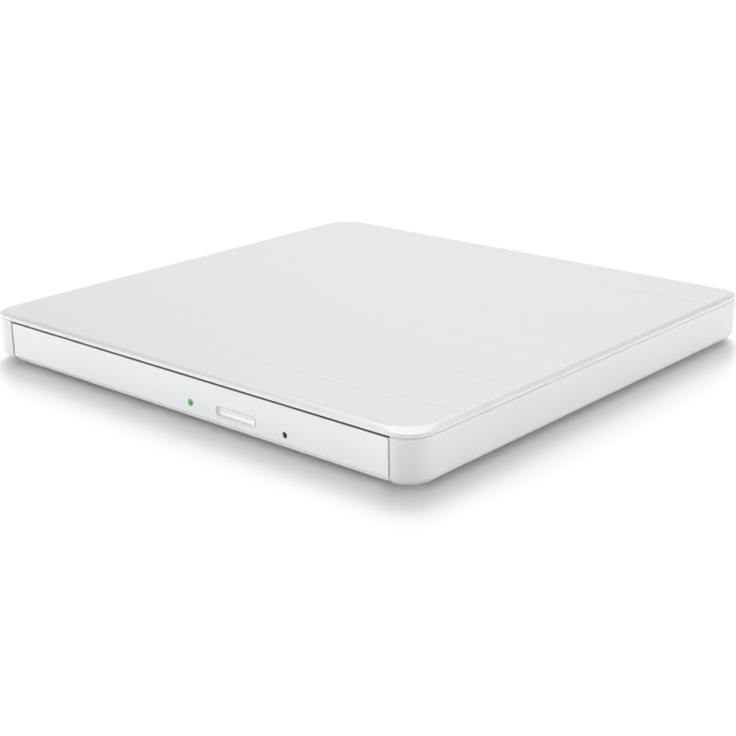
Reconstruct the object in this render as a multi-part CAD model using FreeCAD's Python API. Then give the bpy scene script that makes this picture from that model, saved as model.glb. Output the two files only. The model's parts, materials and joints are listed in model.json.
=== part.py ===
import FreeCAD, Part
import math
import os

# External DVD drive. Millimetres. X to the right, Y to the back, Z up.
# The parts are laid out around the drive's middle plane and moved sideways at the end, so
# that the origin is the middle of the footprint, on the surface the feet stand on.

V = FreeCAD.Vector
UP = V(0, 0, 1)
BACKWARD = V(0, 1, 0)

# Overall sizes
case_width = 144.0
case_depth = 137.5
case_height = 13.0
foot_height = 1.0
drive_offset = 1.7

# Case shell
corner_radius = 6.8
lid_face_radius = 9.3
case_wall = 1.5
case_floor = 1.0
lid_thickness = 1.0
chamfer_run = 1.7
chamfer_drop = 0.43
lip_height = 0.87
bottom_round = 2.3
tongue_depth = 1.6
tongue_thickness = 0.8
tongue_setback = 7.0
foot_radius = 4.5
foot_inset = 13.0
foot_round = 0.3
rib_height = 6.0
rib_width = 1.2
rib_steps = (20.0, 60.0, 100.0)
hook_steps = (9.0, 72.0)
hook_reach = 4.5
hook_nose = 0.9
hook_width = 5.0
hook_arm = 1.8
hook_setback = 0.85
hook_nose_gap = 0.2
ledge_depth = 0.6
ledge_thickness = 0.8
ledge_margin = 0.5
root = 0.3
blind_floor = 0.5
case_screw_core = 0.95
case_screw_rise = 1.4
case_screw_length = 6.0
case_screw_inset = 4.4
case_screw_x = 60.5
case_screw_head_radius = 1.8
case_screw_head = 0.85
case_screw_recess = 2.0
pilot_spare = 0.8
lid_boss_radius = 2.4
screw_boss_radius = 2.6
tab_boss_radius = 2.4
board_boss_radius = 1.8

# Gaps
panel_gap = 0.4
slide_gap = 0.1
snug_gap = 0.05
thread_gap = 0.03
running_gap = 0.05
port_gap = 0.2
bay_gap = 0.3
hole_gap = 0.2

# Front plate, measured along the front from its middle
bezel_margin = 8.0
bezel_thickness = 2.2
bezel_edge_round = 0.35
button_x = 18.9
button_drop = 6.45
button_length = 12.5
button_height = 2.55
button_scoop = 0.4
button_rim = 0.15
scoop_end = 0.5
button_gap = 0.12
button_play = 0.15
button_flange = 0.7
button_flange_thickness = 0.55
led_x = 4.0
led_drop = 6.5
led_radius = 0.85
light_rim_round = 0.2
release_x = 34.2
release_drop = 7.1
release_radius = 0.73
bezel_tabs = (-50.0, -20.0, 42.0)
bezel_tab_width = 5.0
bezel_tab_thickness = 1.0
bezel_tab_reach = 0.6
tab_rise = 1.9

# Slim drive body
drive_side_gap = 6.5
rear_bay = 5.6
sheet = 0.4
chassis_hole_radius = 6.0
chassis_hole_x = (-34.0, 4.0)
chassis_hole_setback = (28.0, 72.0)
drive_tab_x = (-50.0, -10.0)
drive_tab_reach = 3.0
drive_tab_width = 6.0
chassis_wall = 0.5
skirt_depth = 2.5
ring_outer = 28.0
ring_inner = 25.0
ring_press = 0.15
floor_clearance = 0.7
tray_sheet = 0.25
mechanism_height = 4.05
tray_plate = 0.8
rim_height = 2.4
front_wall = 1.5
tray_wall = 3.5
tray_end_gap = 2.0
tray_step_x = 18.0
tray_step_gap = 8.5

# Rails
tray_flank_gap = 4.8
guide_gap = 0.4
rail_width = 4.2
rail_height = 1.2
rail_bed = 2.6
rail_corner = 0.6
rail_engagement = 1.2
guide_lip = 1.3
guide_cap = 0.9
guide_setback = 5.2
guide_end_gap = 4.0
rail_play = 4.0

# Disc seat
disc_radius = 60.0
recess_margin = 0.5
disc_centre_setback = 65.5
disc_seat_rise = 0.8
hub_radius = 7.45
hub_height = 2.3
hub_wall = 1.1
hub_taper = 0.85
turntable_radius = 15.0
turntable_thickness = 0.75
ring_thickness = 0.4
ring_proud = 0.15
claw_count = 3
claw_width = 2.8
claw_nose = 0.4
claw_low = 0.65
claw_high = 1.85
claw_root = 4.0
claw_slot = 1.8

# Mechanism frame, laid out along the pickup's path and across it
mechanism_angle = 225.0
frame_sheet = 0.6
frame_rise = 0.65
rod_radius = 0.75
main_rod_offset = 20.0
sub_rod_offset = 14.0
rod_rise = 2.25
screw_offset = 26.5
screw_radius = 1.25
screw_rise = 1.9
screw_pitch = 3.0
thread_depth = 0.35
lens_start = 23.0
lens_end = 58.0
lens_radius = 1.9
damper_spots = ((-12.0, 35.5), (40.0, -23.0), (-20.5, -12.0))

# Lock
pivot_x = 45.0
pivot_setback = 28.0
post_x = 51.0
post_radius = 1.2
post_height = 3.0
post_gap = 0.16
beak_radius = 13.6
beak_width = 2.0
lever_rise = 0.65
lever_thickness = 1.2
lever_hub_radius = 2.0
lever_width = 2.4
lever_tail_width = 2.0
pivot_radius = 0.8
plunger_thickness = 0.8
plunger_width = 2.4
plunger_pin_radius = 0.5
plunger_nose = 2.2
plunger_stroke_room = 2.0
solenoid_gap = 4.0
solenoid_length = 12.0
solenoid_width = 7.0
solenoid_bore = 8.0
lock_spring_offset = 3.6
lock_spring_setback = 13.6
beak_reach_deg = 18.5
post_bearing_deg = 23.6
plunger_arm = 7.0

# Boards and small fasteners
board_thickness = 0.8
board_rise = 0.35
rear_board_rise = 0.5
screw_core = 0.6
screw_head_radius = 1.5
screw_head = 0.3
short_screw_length = 2.2
board_screw_length = 2.0
rear_screw_head = 0.7
bay_board_left = -4.6
bay_board_margin = 3.6
board_screw_inset_left = 2.2
board_screw_inset_right = 1.7
# Left, right, front and back from the board's middle, and height
bridge_chip_sizes = ((15.0, 19.8, -1.9, 1.9, 0.9), (0.2, 3.2, -1.4, 1.4, 0.8),
                     (4.1, 5.5, -1.9, -0.5, 0.7), (4.1, 5.5, 0.5, 1.9, 0.7))
usb_x = 10.0
usb_width = 7.5
usb_height = 2.6
usb_length = 5.3
usb_shell = 0.3
usb_side_cut = 0.8
usb_side_wall = 0.8
usb_back_wall = 1.4
usb_setback = 0.8
usb_tongue_half = 1.9
usb_tongue_rise = 1.1
usb_tongue = 0.6
link_left = 21.0
link_width = 33.0
link_height = 3.0
link_plug_depth = 4.0
link_socket_depth = 5.0
link_gap = 0.2
link_board_margin = 0.5
link_board_setback = 1.5
link_pads = ((-0.4, 2.4), (19.0, 33.0))
link_tongue_inset = 1.6
link_tongue_reach = 3.6
link_tongue_rise = 1.3
link_tongue = 0.8
drive_tab_rise = 1.6

# Ejector
ejector_x = 51.5
ejector_rise = 1.8
shaft_radius = 0.9
collar_radius = 1.5
collar_thickness = 1.0
spring_stub_radius = 0.7
spring_stub = 5.8
pusher_setback = 28.0
collar_setback = 8.5
housing_setback = 24.0
housing_width = 5.4
housing_height = 3.6
housing_channel = 3.6
housing_front_wall = 1.5
housing_back_wall = 1.2
housing_floor = 0.2
# Wire radius, pitch and mean radius of each spring
ejector_coil = (0.15, 1.0, 1.15)
lock_coil = (0.1, 0.65, 0.75)
claw_coil = (0.08, 0.6, 0.42)

# Worked-out places
half_width = case_width / 2
case_left = -half_width - drive_offset
case_right = half_width - drive_offset
front = -case_depth / 2
back = case_depth / 2
seam_z = case_height - chamfer_drop - lip_height
lip_top = case_height - chamfer_drop
lid_under = case_height - lid_thickness
floor_top = foot_height + case_floor
inner_left = case_left + case_wall
inner_right = case_right - case_wall
bezel_half = half_width - bezel_margin
bezel_back = front + bezel_thickness
bezel_top = seam_z - panel_gap
button_z = seam_z - button_drop
led_z = seam_z - led_drop
release_z = seam_z - release_drop

drive_half = half_width - case_wall - drive_side_gap
chassis_half = drive_half - sheet
chassis_inner = chassis_half - chassis_wall
drive_front = bezel_back + 2 * panel_gap
chassis_back = back - case_wall - rear_bay - sheet
drive_back = chassis_back + sheet
chassis_floor = floor_top + sheet
top_sheet_under = lid_under - sheet

tray_sheet_z = chassis_floor + floor_clearance
tray_bottom = tray_sheet_z + tray_sheet
recess_floor = tray_bottom + mechanism_height
plate_under = recess_floor - tray_plate
rim_top = recess_floor + rim_height
tray_half = drive_half - tray_flank_gap
tray_front = bezel_back
tray_back = chassis_back - tray_end_gap
tray_step_back = chassis_back - tray_step_gap
pocket_half = tray_half - tray_wall
pocket_front = tray_front + front_wall
pocket_back = tray_back - front_wall
pocket_step_back = tray_step_back - front_wall
spindle_y = front + disc_centre_setback
disc_seat = recess_floor + disc_seat_rise
recess_radius = disc_radius + recess_margin

rail_z = chassis_floor + rail_bed
rail_inner = tray_half - rail_engagement
rail_outer = rail_inner + rail_width
guide_inner = tray_half + guide_gap
guide_front = drive_front + guide_setback
guide_back = chassis_back - guide_end_gap
rail_front = guide_front + rail_play
rail_back = guide_back - rail_play

frame_z = tray_bottom + frame_rise
frame_top = frame_z + frame_sheet
rod_z = tray_bottom + rod_rise
screw_z = tray_bottom + screw_rise
pivot_y = front + pivot_setback
post_y = pivot_y - (beak_radius + post_gap + post_radius) * math.cos(math.radians(post_bearing_deg))
board_z = tray_bottom + board_rise
rear_board_z = chassis_floor + rear_board_rise
link_right = link_left + link_width
tab_z = tray_bottom + tab_rise
flange_half = button_height / 2 + button_flange - panel_gap
flange_top = button_z + flange_half
board_under = plate_under - board_thickness


def block(x0, x1, y0, y1, z0, z1):
    return Part.makeBox(x1 - x0, y1 - y0, z1 - z0, V(x0, y0, z0))


def post(x, y, z0, z1, radius):
    return Part.makeCylinder(radius, z1 - z0, V(x, y, z0))


def bar(start, direction, length, radius):
    return Part.makeCylinder(radius, length, start, direction)


def prism(points, z0, z1):
    corners = [V(x, y, z0) for x, y in points]
    outline = Part.makePolygon(corners + corners[:1])
    return Part.Face(outline).extrude(V(0, 0, z1 - z0))


def plan_wire(x0, x1, y0, y1, radius, z):
    diagonal = radius * math.sqrt(0.5)
    edges = []
    corners = (
        (x1 - radius, y1 - radius, 0),
        (x0 + radius, y1 - radius, 90),
        (x0 + radius, y0 + radius, 180),
        (x1 - radius, y0 + radius, 270),
    )
    arcs = []
    for cx, cy, start in corners:
        a = math.radians(start)
        first = V(cx + radius * math.cos(a), cy + radius * math.sin(a), z)
        middle = V(cx + diagonal * (math.cos(a) - math.sin(a)),
                   cy + diagonal * (math.sin(a) + math.cos(a)), z)
        last = V(cx - radius * math.sin(a), cy + radius * math.cos(a), z)
        arcs.append((first, middle, last))
    for index, (first, middle, last) in enumerate(arcs):
        edges.append(Part.Arc(first, middle, last).toShape())
        edges.append(Part.makeLine(last, arcs[(index + 1) % 4][0]))
    return Part.Wire(edges)


def case_wire(inset, radius, z):
    return plan_wire(case_left + inset, case_right - inset, front + inset, back - inset, radius, z)


def case_slab(inset, z0, z1):
    return Part.Face(case_wire(inset, corner_radius - inset, z0)).extrude(V(0, 0, z1 - z0))


def layer(z0, z1):
    """Everything inside the footprint between two heights."""
    return block(case_left, case_right, front, back, z0, z1)


def joined(shapes):
    whole = shapes[0]
    for shape in shapes[1:]:
        whole = whole.fuse(shape)
    return whole.removeSplitter()


def without(whole, cuts):
    for cut in cuts:
        whole = whole.cut(cut)
    return whole


def stadium(x, z, length, height, y0, y1):
    r = height / 2
    half = length / 2 - r
    middle = block(x - half, x + half, y0, y1, z - r, z + r)
    ends = [bar(V(x + side * half, y0, z), BACKWARD, y1 - y0, r) for side in (-1, 1)]
    return joined([middle] + ends)


def in_mechanism(shape):
    """Turn a shape laid out along the pickup's path into its place in the drive."""
    placed = shape.copy()
    placed.rotate(V(0, 0, 0), UP, mechanism_angle)
    placed.translate(V(0, spindle_y, 0))
    return placed


def mechanism_point(u, v):
    a = math.radians(mechanism_angle)
    x = u * math.cos(a) - v * math.sin(a)
    y = u * math.sin(a) + v * math.cos(a) + spindle_y
    return x, y


def coil_spring(start, direction, mean_radius, wire_radius, pitch, turns):
    """One unbroken helical tube that starts at a point and grows along a direction."""
    helix = Part.makeHelix(pitch, pitch * turns, mean_radius)
    slope = pitch / (2 * math.pi * mean_radius)
    section = Part.Wire([Part.makeCircle(wire_radius, V(mean_radius, 0, 0), V(0, 1, slope))])
    spring = Part.Wire(helix.Edges).makePipeShell([section], True, True)
    spring.Placement = FreeCAD.Placement(start, FreeCAD.Rotation(UP, direction))
    return spring


# Case

case_screw_spots = [(side * case_screw_x, back - case_screw_inset) for side in (-1, 1)]
foot_spots = [(x, y) for y in (front + foot_inset, back - foot_inset)
              for x in (case_left + foot_inset, case_right - foot_inset)]
drive_tab_spots = [(x, chassis_back + drive_tab_reach) for x in drive_tab_x]
bay_board_right = link_right + bay_board_margin
bay_board_front = drive_back + bay_gap
bay_board_back = back - case_wall - bay_gap
bay_board_middle = (bay_board_front + bay_board_back) / 2
board_screw_spots = [(bay_board_left + board_screw_inset_left, bay_board_middle),
                     (bay_board_right - board_screw_inset_right, bay_board_middle)]
hook_places = [front + step for step in hook_steps]
rib_places = [front + step for step in rib_steps]
hook_z = lid_under - hook_reach
hook_top = hook_z + hook_nose
case_screw_seat = floor_top + case_screw_rise
drive_tab_z = floor_top + drive_tab_rise


def side_block(side, inset0, inset1, y0, y1, z0, z1):
    """Block beside the case's inner side wall, between two distances from it."""
    wall = inner_right if side > 0 else inner_left
    x0, x1 = sorted((wall - side * inset0, wall - side * inset1))
    return block(x0, x1, y0, y1, z0, z1)


def top_cover():
    """Lid with a chamfered edge, a locating tongue, screw bosses and side hooks."""
    lip = case_slab(0, seam_z, lip_top)
    lower = case_wire(0, corner_radius, lip_top)
    upper = case_wire(chamfer_run, lid_face_radius, case_height)
    crown = Part.makeLoft([lower, upper], True, True)
    lid = lip.fuse(crown).removeSplitter()
    lid = lid.cut(case_slab(case_wall, seam_z - 1, lid_under))

    tongue_bottom = lid_under - tongue_depth
    outer = case_slab(case_wall + slide_gap, tongue_bottom, lid_under)
    inner = case_slab(case_wall + slide_gap + tongue_thickness, tongue_bottom - 1, lid_under + 1)
    clear_front = block(case_left, case_right, front - 1, front + tongue_setback, 0, case_height)
    tongue = without(outer, [inner, clear_front])

    bosses = []
    pilots = []
    for x, y in case_screw_spots:
        bosses.append(post(x, y, case_screw_seat, lid_under, lid_boss_radius))
        pilots.append(post(x, y, case_screw_seat - 1, floor_top + case_screw_length + pilot_spare,
                           case_screw_core + thread_gap))

    hooks = []
    for y in hook_places:
        y0 = y - hook_width / 2
        y1 = y + hook_width / 2
        for side in (-1, 1):
            arm = side_block(side, hook_setback, hook_setback + hook_arm, y0, y1, hook_z, lid_under)
            nose = side_block(side, hook_nose_gap, hook_setback, y0, y1, hook_z, hook_top)
            hooks.append(joined([arm, nose]))
    return without(joined([lid, tongue] + bosses + hooks), pilots)


def bottom_case():
    """Tub with a rounded bottom edge, open at the front for the tray's plate."""
    shell = case_slab(0, foot_height, seam_z)
    low_edges = [e for e in shell.Edges if e.BoundBox.ZMax < foot_height + 0.01]
    shell = shell.makeFillet(bottom_round, low_edges)
    shell = shell.cut(case_slab(case_wall, floor_top, seam_z + 1))
    opening = block(-bezel_half - panel_gap, bezel_half + panel_gap, front - 1, bezel_back + panel_gap,
                    0, seam_z + 1)
    shell = shell.cut(opening)

    ribs = []
    for y in rib_places:
        ribs.append(block(inner_left - root, -drive_half - slide_gap, y, y + rib_width, floor_top,
                          floor_top + rib_height))
        ribs.append(block(drive_half + slide_gap, inner_right + root, y, y + rib_width, floor_top,
                          floor_top + rib_height))
    ledge_z = hook_top + slide_gap
    reach = hook_width / 2 + ledge_margin
    for y in hook_places:
        for side in (-1, 1):
            ribs.append(side_block(side, -root, ledge_depth, y - reach, y + reach, ledge_z,
                                   ledge_z + ledge_thickness))

    bosses = [post(x, y, floor_top, case_screw_seat, screw_boss_radius) for x, y in case_screw_spots]
    bosses += [post(x, y, floor_top, drive_tab_z, tab_boss_radius) for x, y in drive_tab_spots]
    bosses += [post(x, y, floor_top, rear_board_z, board_boss_radius) for x, y in board_screw_spots]

    cuts = []
    for x, y in case_screw_spots:
        cuts.append(post(x, y, 0, case_screw_seat + 1, case_screw_core + slide_gap))
        cuts.append(post(x, y, 0, floor_top, case_screw_recess))
    for x, y in drive_tab_spots:
        cuts.append(post(x, y, foot_height + blind_floor, drive_tab_z + 1, screw_core + thread_gap))
    for x, y in board_screw_spots:
        cuts.append(post(x, y, foot_height + blind_floor, rear_board_z + 1, screw_core + thread_gap))
    usb_bottom = rear_board_z + board_thickness
    cuts.append(block(usb_x - usb_width / 2 - port_gap, usb_x + usb_width / 2 + port_gap,
                      back - case_wall - 1, back + 1, usb_bottom - port_gap,
                      usb_bottom + usb_height + port_gap))
    return without(joined([shell] + ribs + bosses), cuts)


def rubber_feet():
    feet = []
    for x, y in foot_spots:
        foot = post(x, y, 0, foot_height, foot_radius)
        rim = [e for e in foot.Edges if e.BoundBox.ZMax < 0.01]
        feet.append(foot.makeFillet(foot_round, rim))
    return Part.makeCompound(feet)


def pan_screw(x, y, seat_z, core, length, head_radius, head_height, head_up=True):
    """Screw with its head on the seat; the core runs away from the head."""
    if head_up:
        head = post(x, y, seat_z, seat_z + head_height, head_radius)
        shank = post(x, y, seat_z - length, seat_z, core)
    else:
        head = post(x, y, seat_z - head_height, seat_z, head_radius)
        shank = post(x, y, seat_z, seat_z + length, core)
    return joined([head, shank])


def case_screws():
    screws = [pan_screw(x, y, floor_top, case_screw_core, case_screw_length, case_screw_head_radius,
                        case_screw_head, head_up=False)
              for x, y in case_screw_spots]
    return Part.makeCompound(screws)


def rear_screws():
    """Short screws that hold the drive's tabs and the bridge board."""
    screws = [pan_screw(x, y, drive_tab_z + sheet, screw_core, short_screw_length, screw_head_radius,
                        rear_screw_head)
              for x, y in drive_tab_spots]
    screws += [pan_screw(x, y, rear_board_z + board_thickness, screw_core, board_screw_length,
                         screw_head_radius, rear_screw_head)
               for x, y in board_screw_spots]
    return Part.makeCompound(screws)


# Back bay

def bridge_board():
    board = block(bay_board_left, bay_board_right, bay_board_front, bay_board_back, rear_board_z,
                  rear_board_z + board_thickness)
    return without(board, [post(x, y, 0, case_height, screw_core + hole_gap)
                           for x, y in board_screw_spots])


def bridge_chips():
    z = rear_board_z + board_thickness
    chips = [block(x0, x1, bay_board_middle + y0, bay_board_middle + y1, z, z + height)
             for x0, x1, y0, y1, height in bridge_chip_sizes]
    return Part.makeCompound(chips)


def usb_port():
    """Five-pin receptacle: a formed shell with a contact tongue."""
    z0 = rear_board_z + board_thickness
    z1 = z0 + usb_height
    half = usb_width / 2
    y1 = back - usb_setback
    y0 = y1 - usb_length
    shell = block(usb_x - half, usb_x + half, y0, y1, z0, z1)
    for side in (-1, 1):
        corner_x = usb_x + side * half
        wedge = Part.Face(Part.makePolygon([
            V(corner_x, y0 - 1, z0), V(corner_x, y0 - 1, z0 + usb_side_cut),
            V(corner_x - side * usb_side_cut, y0 - 1, z0), V(corner_x, y0 - 1, z0)]))
        shell = shell.cut(wedge.extrude(V(0, usb_length + 2, 0)))
    cavity = block(usb_x - half + usb_side_wall, usb_x + half - usb_side_wall, y0 + usb_back_wall, y1 + 1,
                   z0 + usb_shell, z1 - usb_shell)
    tongue = block(usb_x - usb_tongue_half, usb_x + usb_tongue_half, y0 + usb_back_wall - 0.4,
                   y1 - usb_setback, z0 + usb_tongue_rise, z0 + usb_tongue_rise + usb_tongue)
    return joined([shell.cut(cavity), tongue])


def link_plug():
    """Board-side half of the drive connector, with its tongue in the socket."""
    z0 = rear_board_z + board_thickness
    y0 = drive_back + slide_gap
    body = block(link_left, link_right, y0, y0 + link_plug_depth, z0, z0 + link_height)
    tongue = block(link_left + link_tongue_inset, link_right - link_tongue_inset,
                   drive_back - link_tongue_reach, drive_back + root, z0 + link_tongue_rise,
                   z0 + link_tongue_rise + link_tongue)
    return joined([body, tongue])


def link_socket():
    z0 = rear_board_z + board_thickness
    y1 = drive_back - link_gap
    slot_z = z0 + link_tongue_rise - slide_gap
    body = block(link_left, link_right, y1 - link_socket_depth, y1, z0, z0 + link_height)
    slot = block(link_left + link_tongue_inset - slide_gap, link_right - link_tongue_inset + slide_gap,
                 drive_back - link_tongue_reach - bay_gap, drive_back, slot_z,
                 slot_z + link_tongue + 2 * slide_gap)
    return body.cut(slot)


def link_board():
    return block(link_left - link_board_margin, link_right + 2 * link_board_margin,
                 tray_step_back + link_board_setback, chassis_back - chassis_wall - hole_gap, rear_board_z,
                 rear_board_z + board_thickness)


# Slim drive body

def drive_chassis():
    """Stamped lower body with side walls, a rear wall and two screw tabs."""
    floor = block(-chassis_half, chassis_half, drive_front, chassis_back, floor_top, chassis_floor)
    sides = [block(-chassis_half, -chassis_inner, drive_front, chassis_back, floor_top, top_sheet_under),
             block(chassis_inner, chassis_half, drive_front, chassis_back, floor_top, top_sheet_under)]
    rear = block(-chassis_half, chassis_half, chassis_back - chassis_wall, chassis_back, floor_top,
                 top_sheet_under)
    tabs = [block(x - drive_tab_width / 2, x + drive_tab_width / 2, chassis_back - hole_gap,
                  y + drive_tab_reach, drive_tab_z, drive_tab_z + sheet)
            for x, y in drive_tab_spots]
    pads = [block(link_left + x0, link_left + x1, tray_step_back + link_board_setback + 1.0,
                  chassis_back - 1.0, floor_top, rear_board_z)
            for x0, x1 in link_pads]
    cuts = [block(link_left - panel_gap, link_right + panel_gap, chassis_back - 1, chassis_back + 1,
                  chassis_floor, rear_board_z + board_thickness + link_height + bay_gap)]
    cuts += [post(x, y, 0, case_height, screw_core + bay_gap) for x, y in drive_tab_spots]
    cuts += [post(x, front + y, 0, chassis_floor + 0.1, chassis_hole_radius)
             for x in chassis_hole_x for y in chassis_hole_setback]
    return without(joined([floor, rear] + sides + tabs + pads), cuts)


def drive_top_sheet():
    sheet_top = block(-drive_half, drive_half, drive_front, drive_back, top_sheet_under, lid_under)
    skirt_z = top_sheet_under - skirt_depth
    skirts = [block(-drive_half, -chassis_half, drive_front, drive_back, skirt_z, lid_under),
              block(chassis_half, drive_half, drive_front, drive_back, skirt_z, lid_under),
              block(-drive_half, drive_half, chassis_back, drive_back, skirt_z, lid_under)]
    ring = post(0, spindle_y, top_sheet_under - 1, top_sheet_under + ring_press, ring_outer)
    ring = ring.cut(post(0, spindle_y, 0, lid_under, ring_inner))
    return joined([sheet_top] + skirts).cut(ring)


def rail_guide(side):
    """Fixed channel on the chassis wall that the slide rail runs in."""
    z0 = rail_z - slide_gap
    z1 = rail_z + rail_height + slide_gap
    body = block(guide_inner, chassis_inner, guide_front, guide_back, z0 - guide_lip, z1 + guide_cap)
    groove = block(guide_inner - 1, rail_outer + hole_gap, guide_front - 1, guide_back + 1, z0, z1)
    guide = body.cut(groove)
    return guide if side > 0 else guide.mirror(V(0, 0, 0), V(1, 0, 0))


def slide_rail(side):
    rail = block(rail_inner, rail_outer, rail_front, rail_back, rail_z, rail_z + rail_height)
    corners = [e for e in rail.Edges if abs(e.BoundBox.ZLength - rail_height) < 0.01]
    rail = rail.makeFillet(rail_corner, corners)
    return rail if side > 0 else rail.mirror(V(0, 0, 0), V(1, 0, 0))


def lock_post():
    """Pin on the chassis floor that the lock lever's beak catches behind."""
    return post(post_x, post_y, chassis_floor, chassis_floor + post_height, post_radius)


# Ejector

ejector_z = chassis_floor + ejector_rise
pusher_head = chassis_back - pusher_setback
collar_back = chassis_back - collar_setback
housing_front = chassis_back - housing_setback
housing_back = chassis_back - chassis_wall - slide_gap


def ejector_housing():
    half = housing_width / 2
    body = block(-ejector_x - half, -ejector_x + half, housing_front, housing_back, chassis_floor,
                 chassis_floor + housing_height)
    half = housing_channel / 2
    channel = block(-ejector_x - half, -ejector_x + half, housing_front + housing_front_wall,
                    housing_back - housing_back_wall, chassis_floor + housing_floor,
                    chassis_floor + housing_height + 1)
    hole = bar(V(-ejector_x, housing_front - 1, ejector_z), BACKWARD, 4, shaft_radius + slide_gap)
    return without(body, [channel, hole])


def ejector_pusher():
    shaft = bar(V(-ejector_x, pusher_head, ejector_z), BACKWARD, collar_back - pusher_head, shaft_radius)
    collar = bar(V(-ejector_x, collar_back - collar_thickness, ejector_z), BACKWARD, collar_thickness,
                 collar_radius)
    stub = bar(V(-ejector_x, collar_back, ejector_z), BACKWARD, spring_stub, spring_stub_radius)
    return joined([shaft, collar, stub])


def ejector_spring():
    wire, pitch, mean_radius = ejector_coil
    room = housing_back - housing_back_wall - collar_back - 2 * slide_gap
    turns = (room - 2 * wire) / pitch
    print("ejector spring gap to itself", round(pitch - 2 * wire, 3))
    start = V(-ejector_x, collar_back + slide_gap + wire, ejector_z)
    return coil_spring(start, BACKWARD, mean_radius, wire, pitch, turns)


# Tray

board_posts = ((-42.0, tray_step_back - 2.0), (-43.0, front + 90.0), (42.0, tray_step_back - 7.0),
               (42.0, front + 84.0))
board_post_radius = 1.8
tray_round = 2.0
flex_left = 25.0
flex_width = 12.0
flex_thickness = 0.15
flex_fold_setback = 54.25
flex_reach = 4.0
channel_gap = 0.5
blind_plate = 0.3
damper_flange = 0.4
ejector_stop_width = 3.4
ejector_stop_depth = 3.5
spring_anchor_radius = 1.0
slider_width = 2.2
slider_rail = 0.8
slider_rail_from = 18.0
slider_rail_to = 6.0
slider_reach = 20.5
slider_play = 0.25
lock_room = 2.3
ejector_room = 4.0


def mechanism_window(grow):
    """Opening in the tray's plate, along the pickup's path and inside the tray's walls."""
    swept = in_mechanism(block(-17.0 - grow, 69.0 + grow, -19.5 - grow, 32.0 + grow, 0, case_height))
    half = pocket_half - 2.2 + grow
    room = block(-half, half, pocket_front + 1.8 - grow, pocket_back - 2.5 + grow, 0, case_height)
    return swept.common(room)


def tray():
    """Moulded tray: disc recess above, pocket for the mechanism below."""
    body = block(-tray_half, tray_half, tray_front, tray_back, tray_bottom, rim_top)
    upright = [e for e in body.Edges
               if abs(e.BoundBox.ZLength - (rim_top - tray_bottom)) < 0.01 and e.BoundBox.YMin > 0]
    body = body.makeFillet(tray_round, upright)
    pocket = joined([
        block(-pocket_half, tray_step_x - front_wall, pocket_front, pocket_back, 0, plate_under),
        block(tray_step_x - front_wall - 1, pocket_half, pocket_front, pocket_step_back, 0, plate_under)])
    cuts = [
        block(tray_step_x, case_right, tray_step_back, back, 0, case_height),
        post(0, spindle_y, recess_floor, case_height, recess_radius),
        pocket,
        mechanism_window(0),
        mechanism_window(1.2).common(layer(recess_floor - tray_sheet, case_height)),
    ]
    z0 = rail_z - slide_gap
    z1 = rail_z + rail_height + slide_gap
    for side in (-1, 1):
        groove = block(rail_inner - hole_gap, case_right, pocket_front, back, z0, z1)
        cuts.append(groove if side > 0 else groove.mirror(V(0, 0, 0), V(1, 0, 0)))
    post_room = post_radius + channel_gap
    post_channel = block(post_x - post_room, post_x + post_room, pocket_step_back - 1, back, 0,
                         chassis_floor + post_height + bay_gap)
    ejector_channel = block(-pocket_half, -ejector_x + housing_width / 2 + 0.6, pocket_back - 1, back, 0,
                            chassis_floor + housing_height + bay_gap)
    cuts += [post_channel, ejector_channel]
    half = button_length / 2 + button_flange + panel_gap
    cuts.append(block(button_x - half, button_x + half, tray_front - 1, pocket_front + channel_gap, 0,
                      flange_top + bay_gap))
    cuts.append(bar(V(led_x, tray_front - 1, led_z), BACKWARD, front_wall + 2, led_radius + hole_gap))
    cuts.append(bar(V(release_x, tray_front - 1, release_z), BACKWARD, front_wall + 2,
                    release_radius + hole_gap))
    tab_half = bezel_tab_width / 2 + snug_gap
    for x in bezel_tabs:
        cuts.append(block(x - tab_half, x + tab_half, tray_front - 1, pocket_front + 1,
                          tab_z - snug_gap, tab_z + bezel_tab_thickness + snug_gap))
    body = without(body, cuts)

    ceiling = plate_under + 0.1
    pilot_end = plate_under - blind_plate
    additions = [post(x, y, board_z + board_thickness, ceiling, board_post_radius) for x, y in board_posts]
    pilots = [post(x, y, 0, pilot_end, screw_core + thread_gap) for x, y in board_posts]
    for u, v in damper_spots:
        x, y = mechanism_point(u, v)
        additions.append(post(x, y, frame_top + damper_flange, ceiling, board_post_radius))
        pilots.append(post(x, y, 0, pilot_end, screw_core + thread_gap))
    half = ejector_stop_width / 2
    additions.append(block(-ejector_x - half, -ejector_x + half, pusher_head - ejector_stop_depth,
                           pusher_head - slide_gap, tray_bottom, ceiling))
    additions.append(post(pivot_x, pivot_y, tray_bottom + bay_gap, ceiling, pivot_radius))
    additions.append(post(spring_x, spring_anchor_y, tray_bottom + bay_gap, ceiling, spring_anchor_radius))
    slider_room = slider_width / 2 + hole_gap
    for x in (release_x - slider_room - slider_rail, release_x + slider_room):
        additions.append(block(x, x + slider_rail, pivot_y - slider_rail_from, pivot_y - slider_rail_to,
                               tray_bottom + hole_gap, ceiling))
    return without(joined([body] + additions), pilots)


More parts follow.
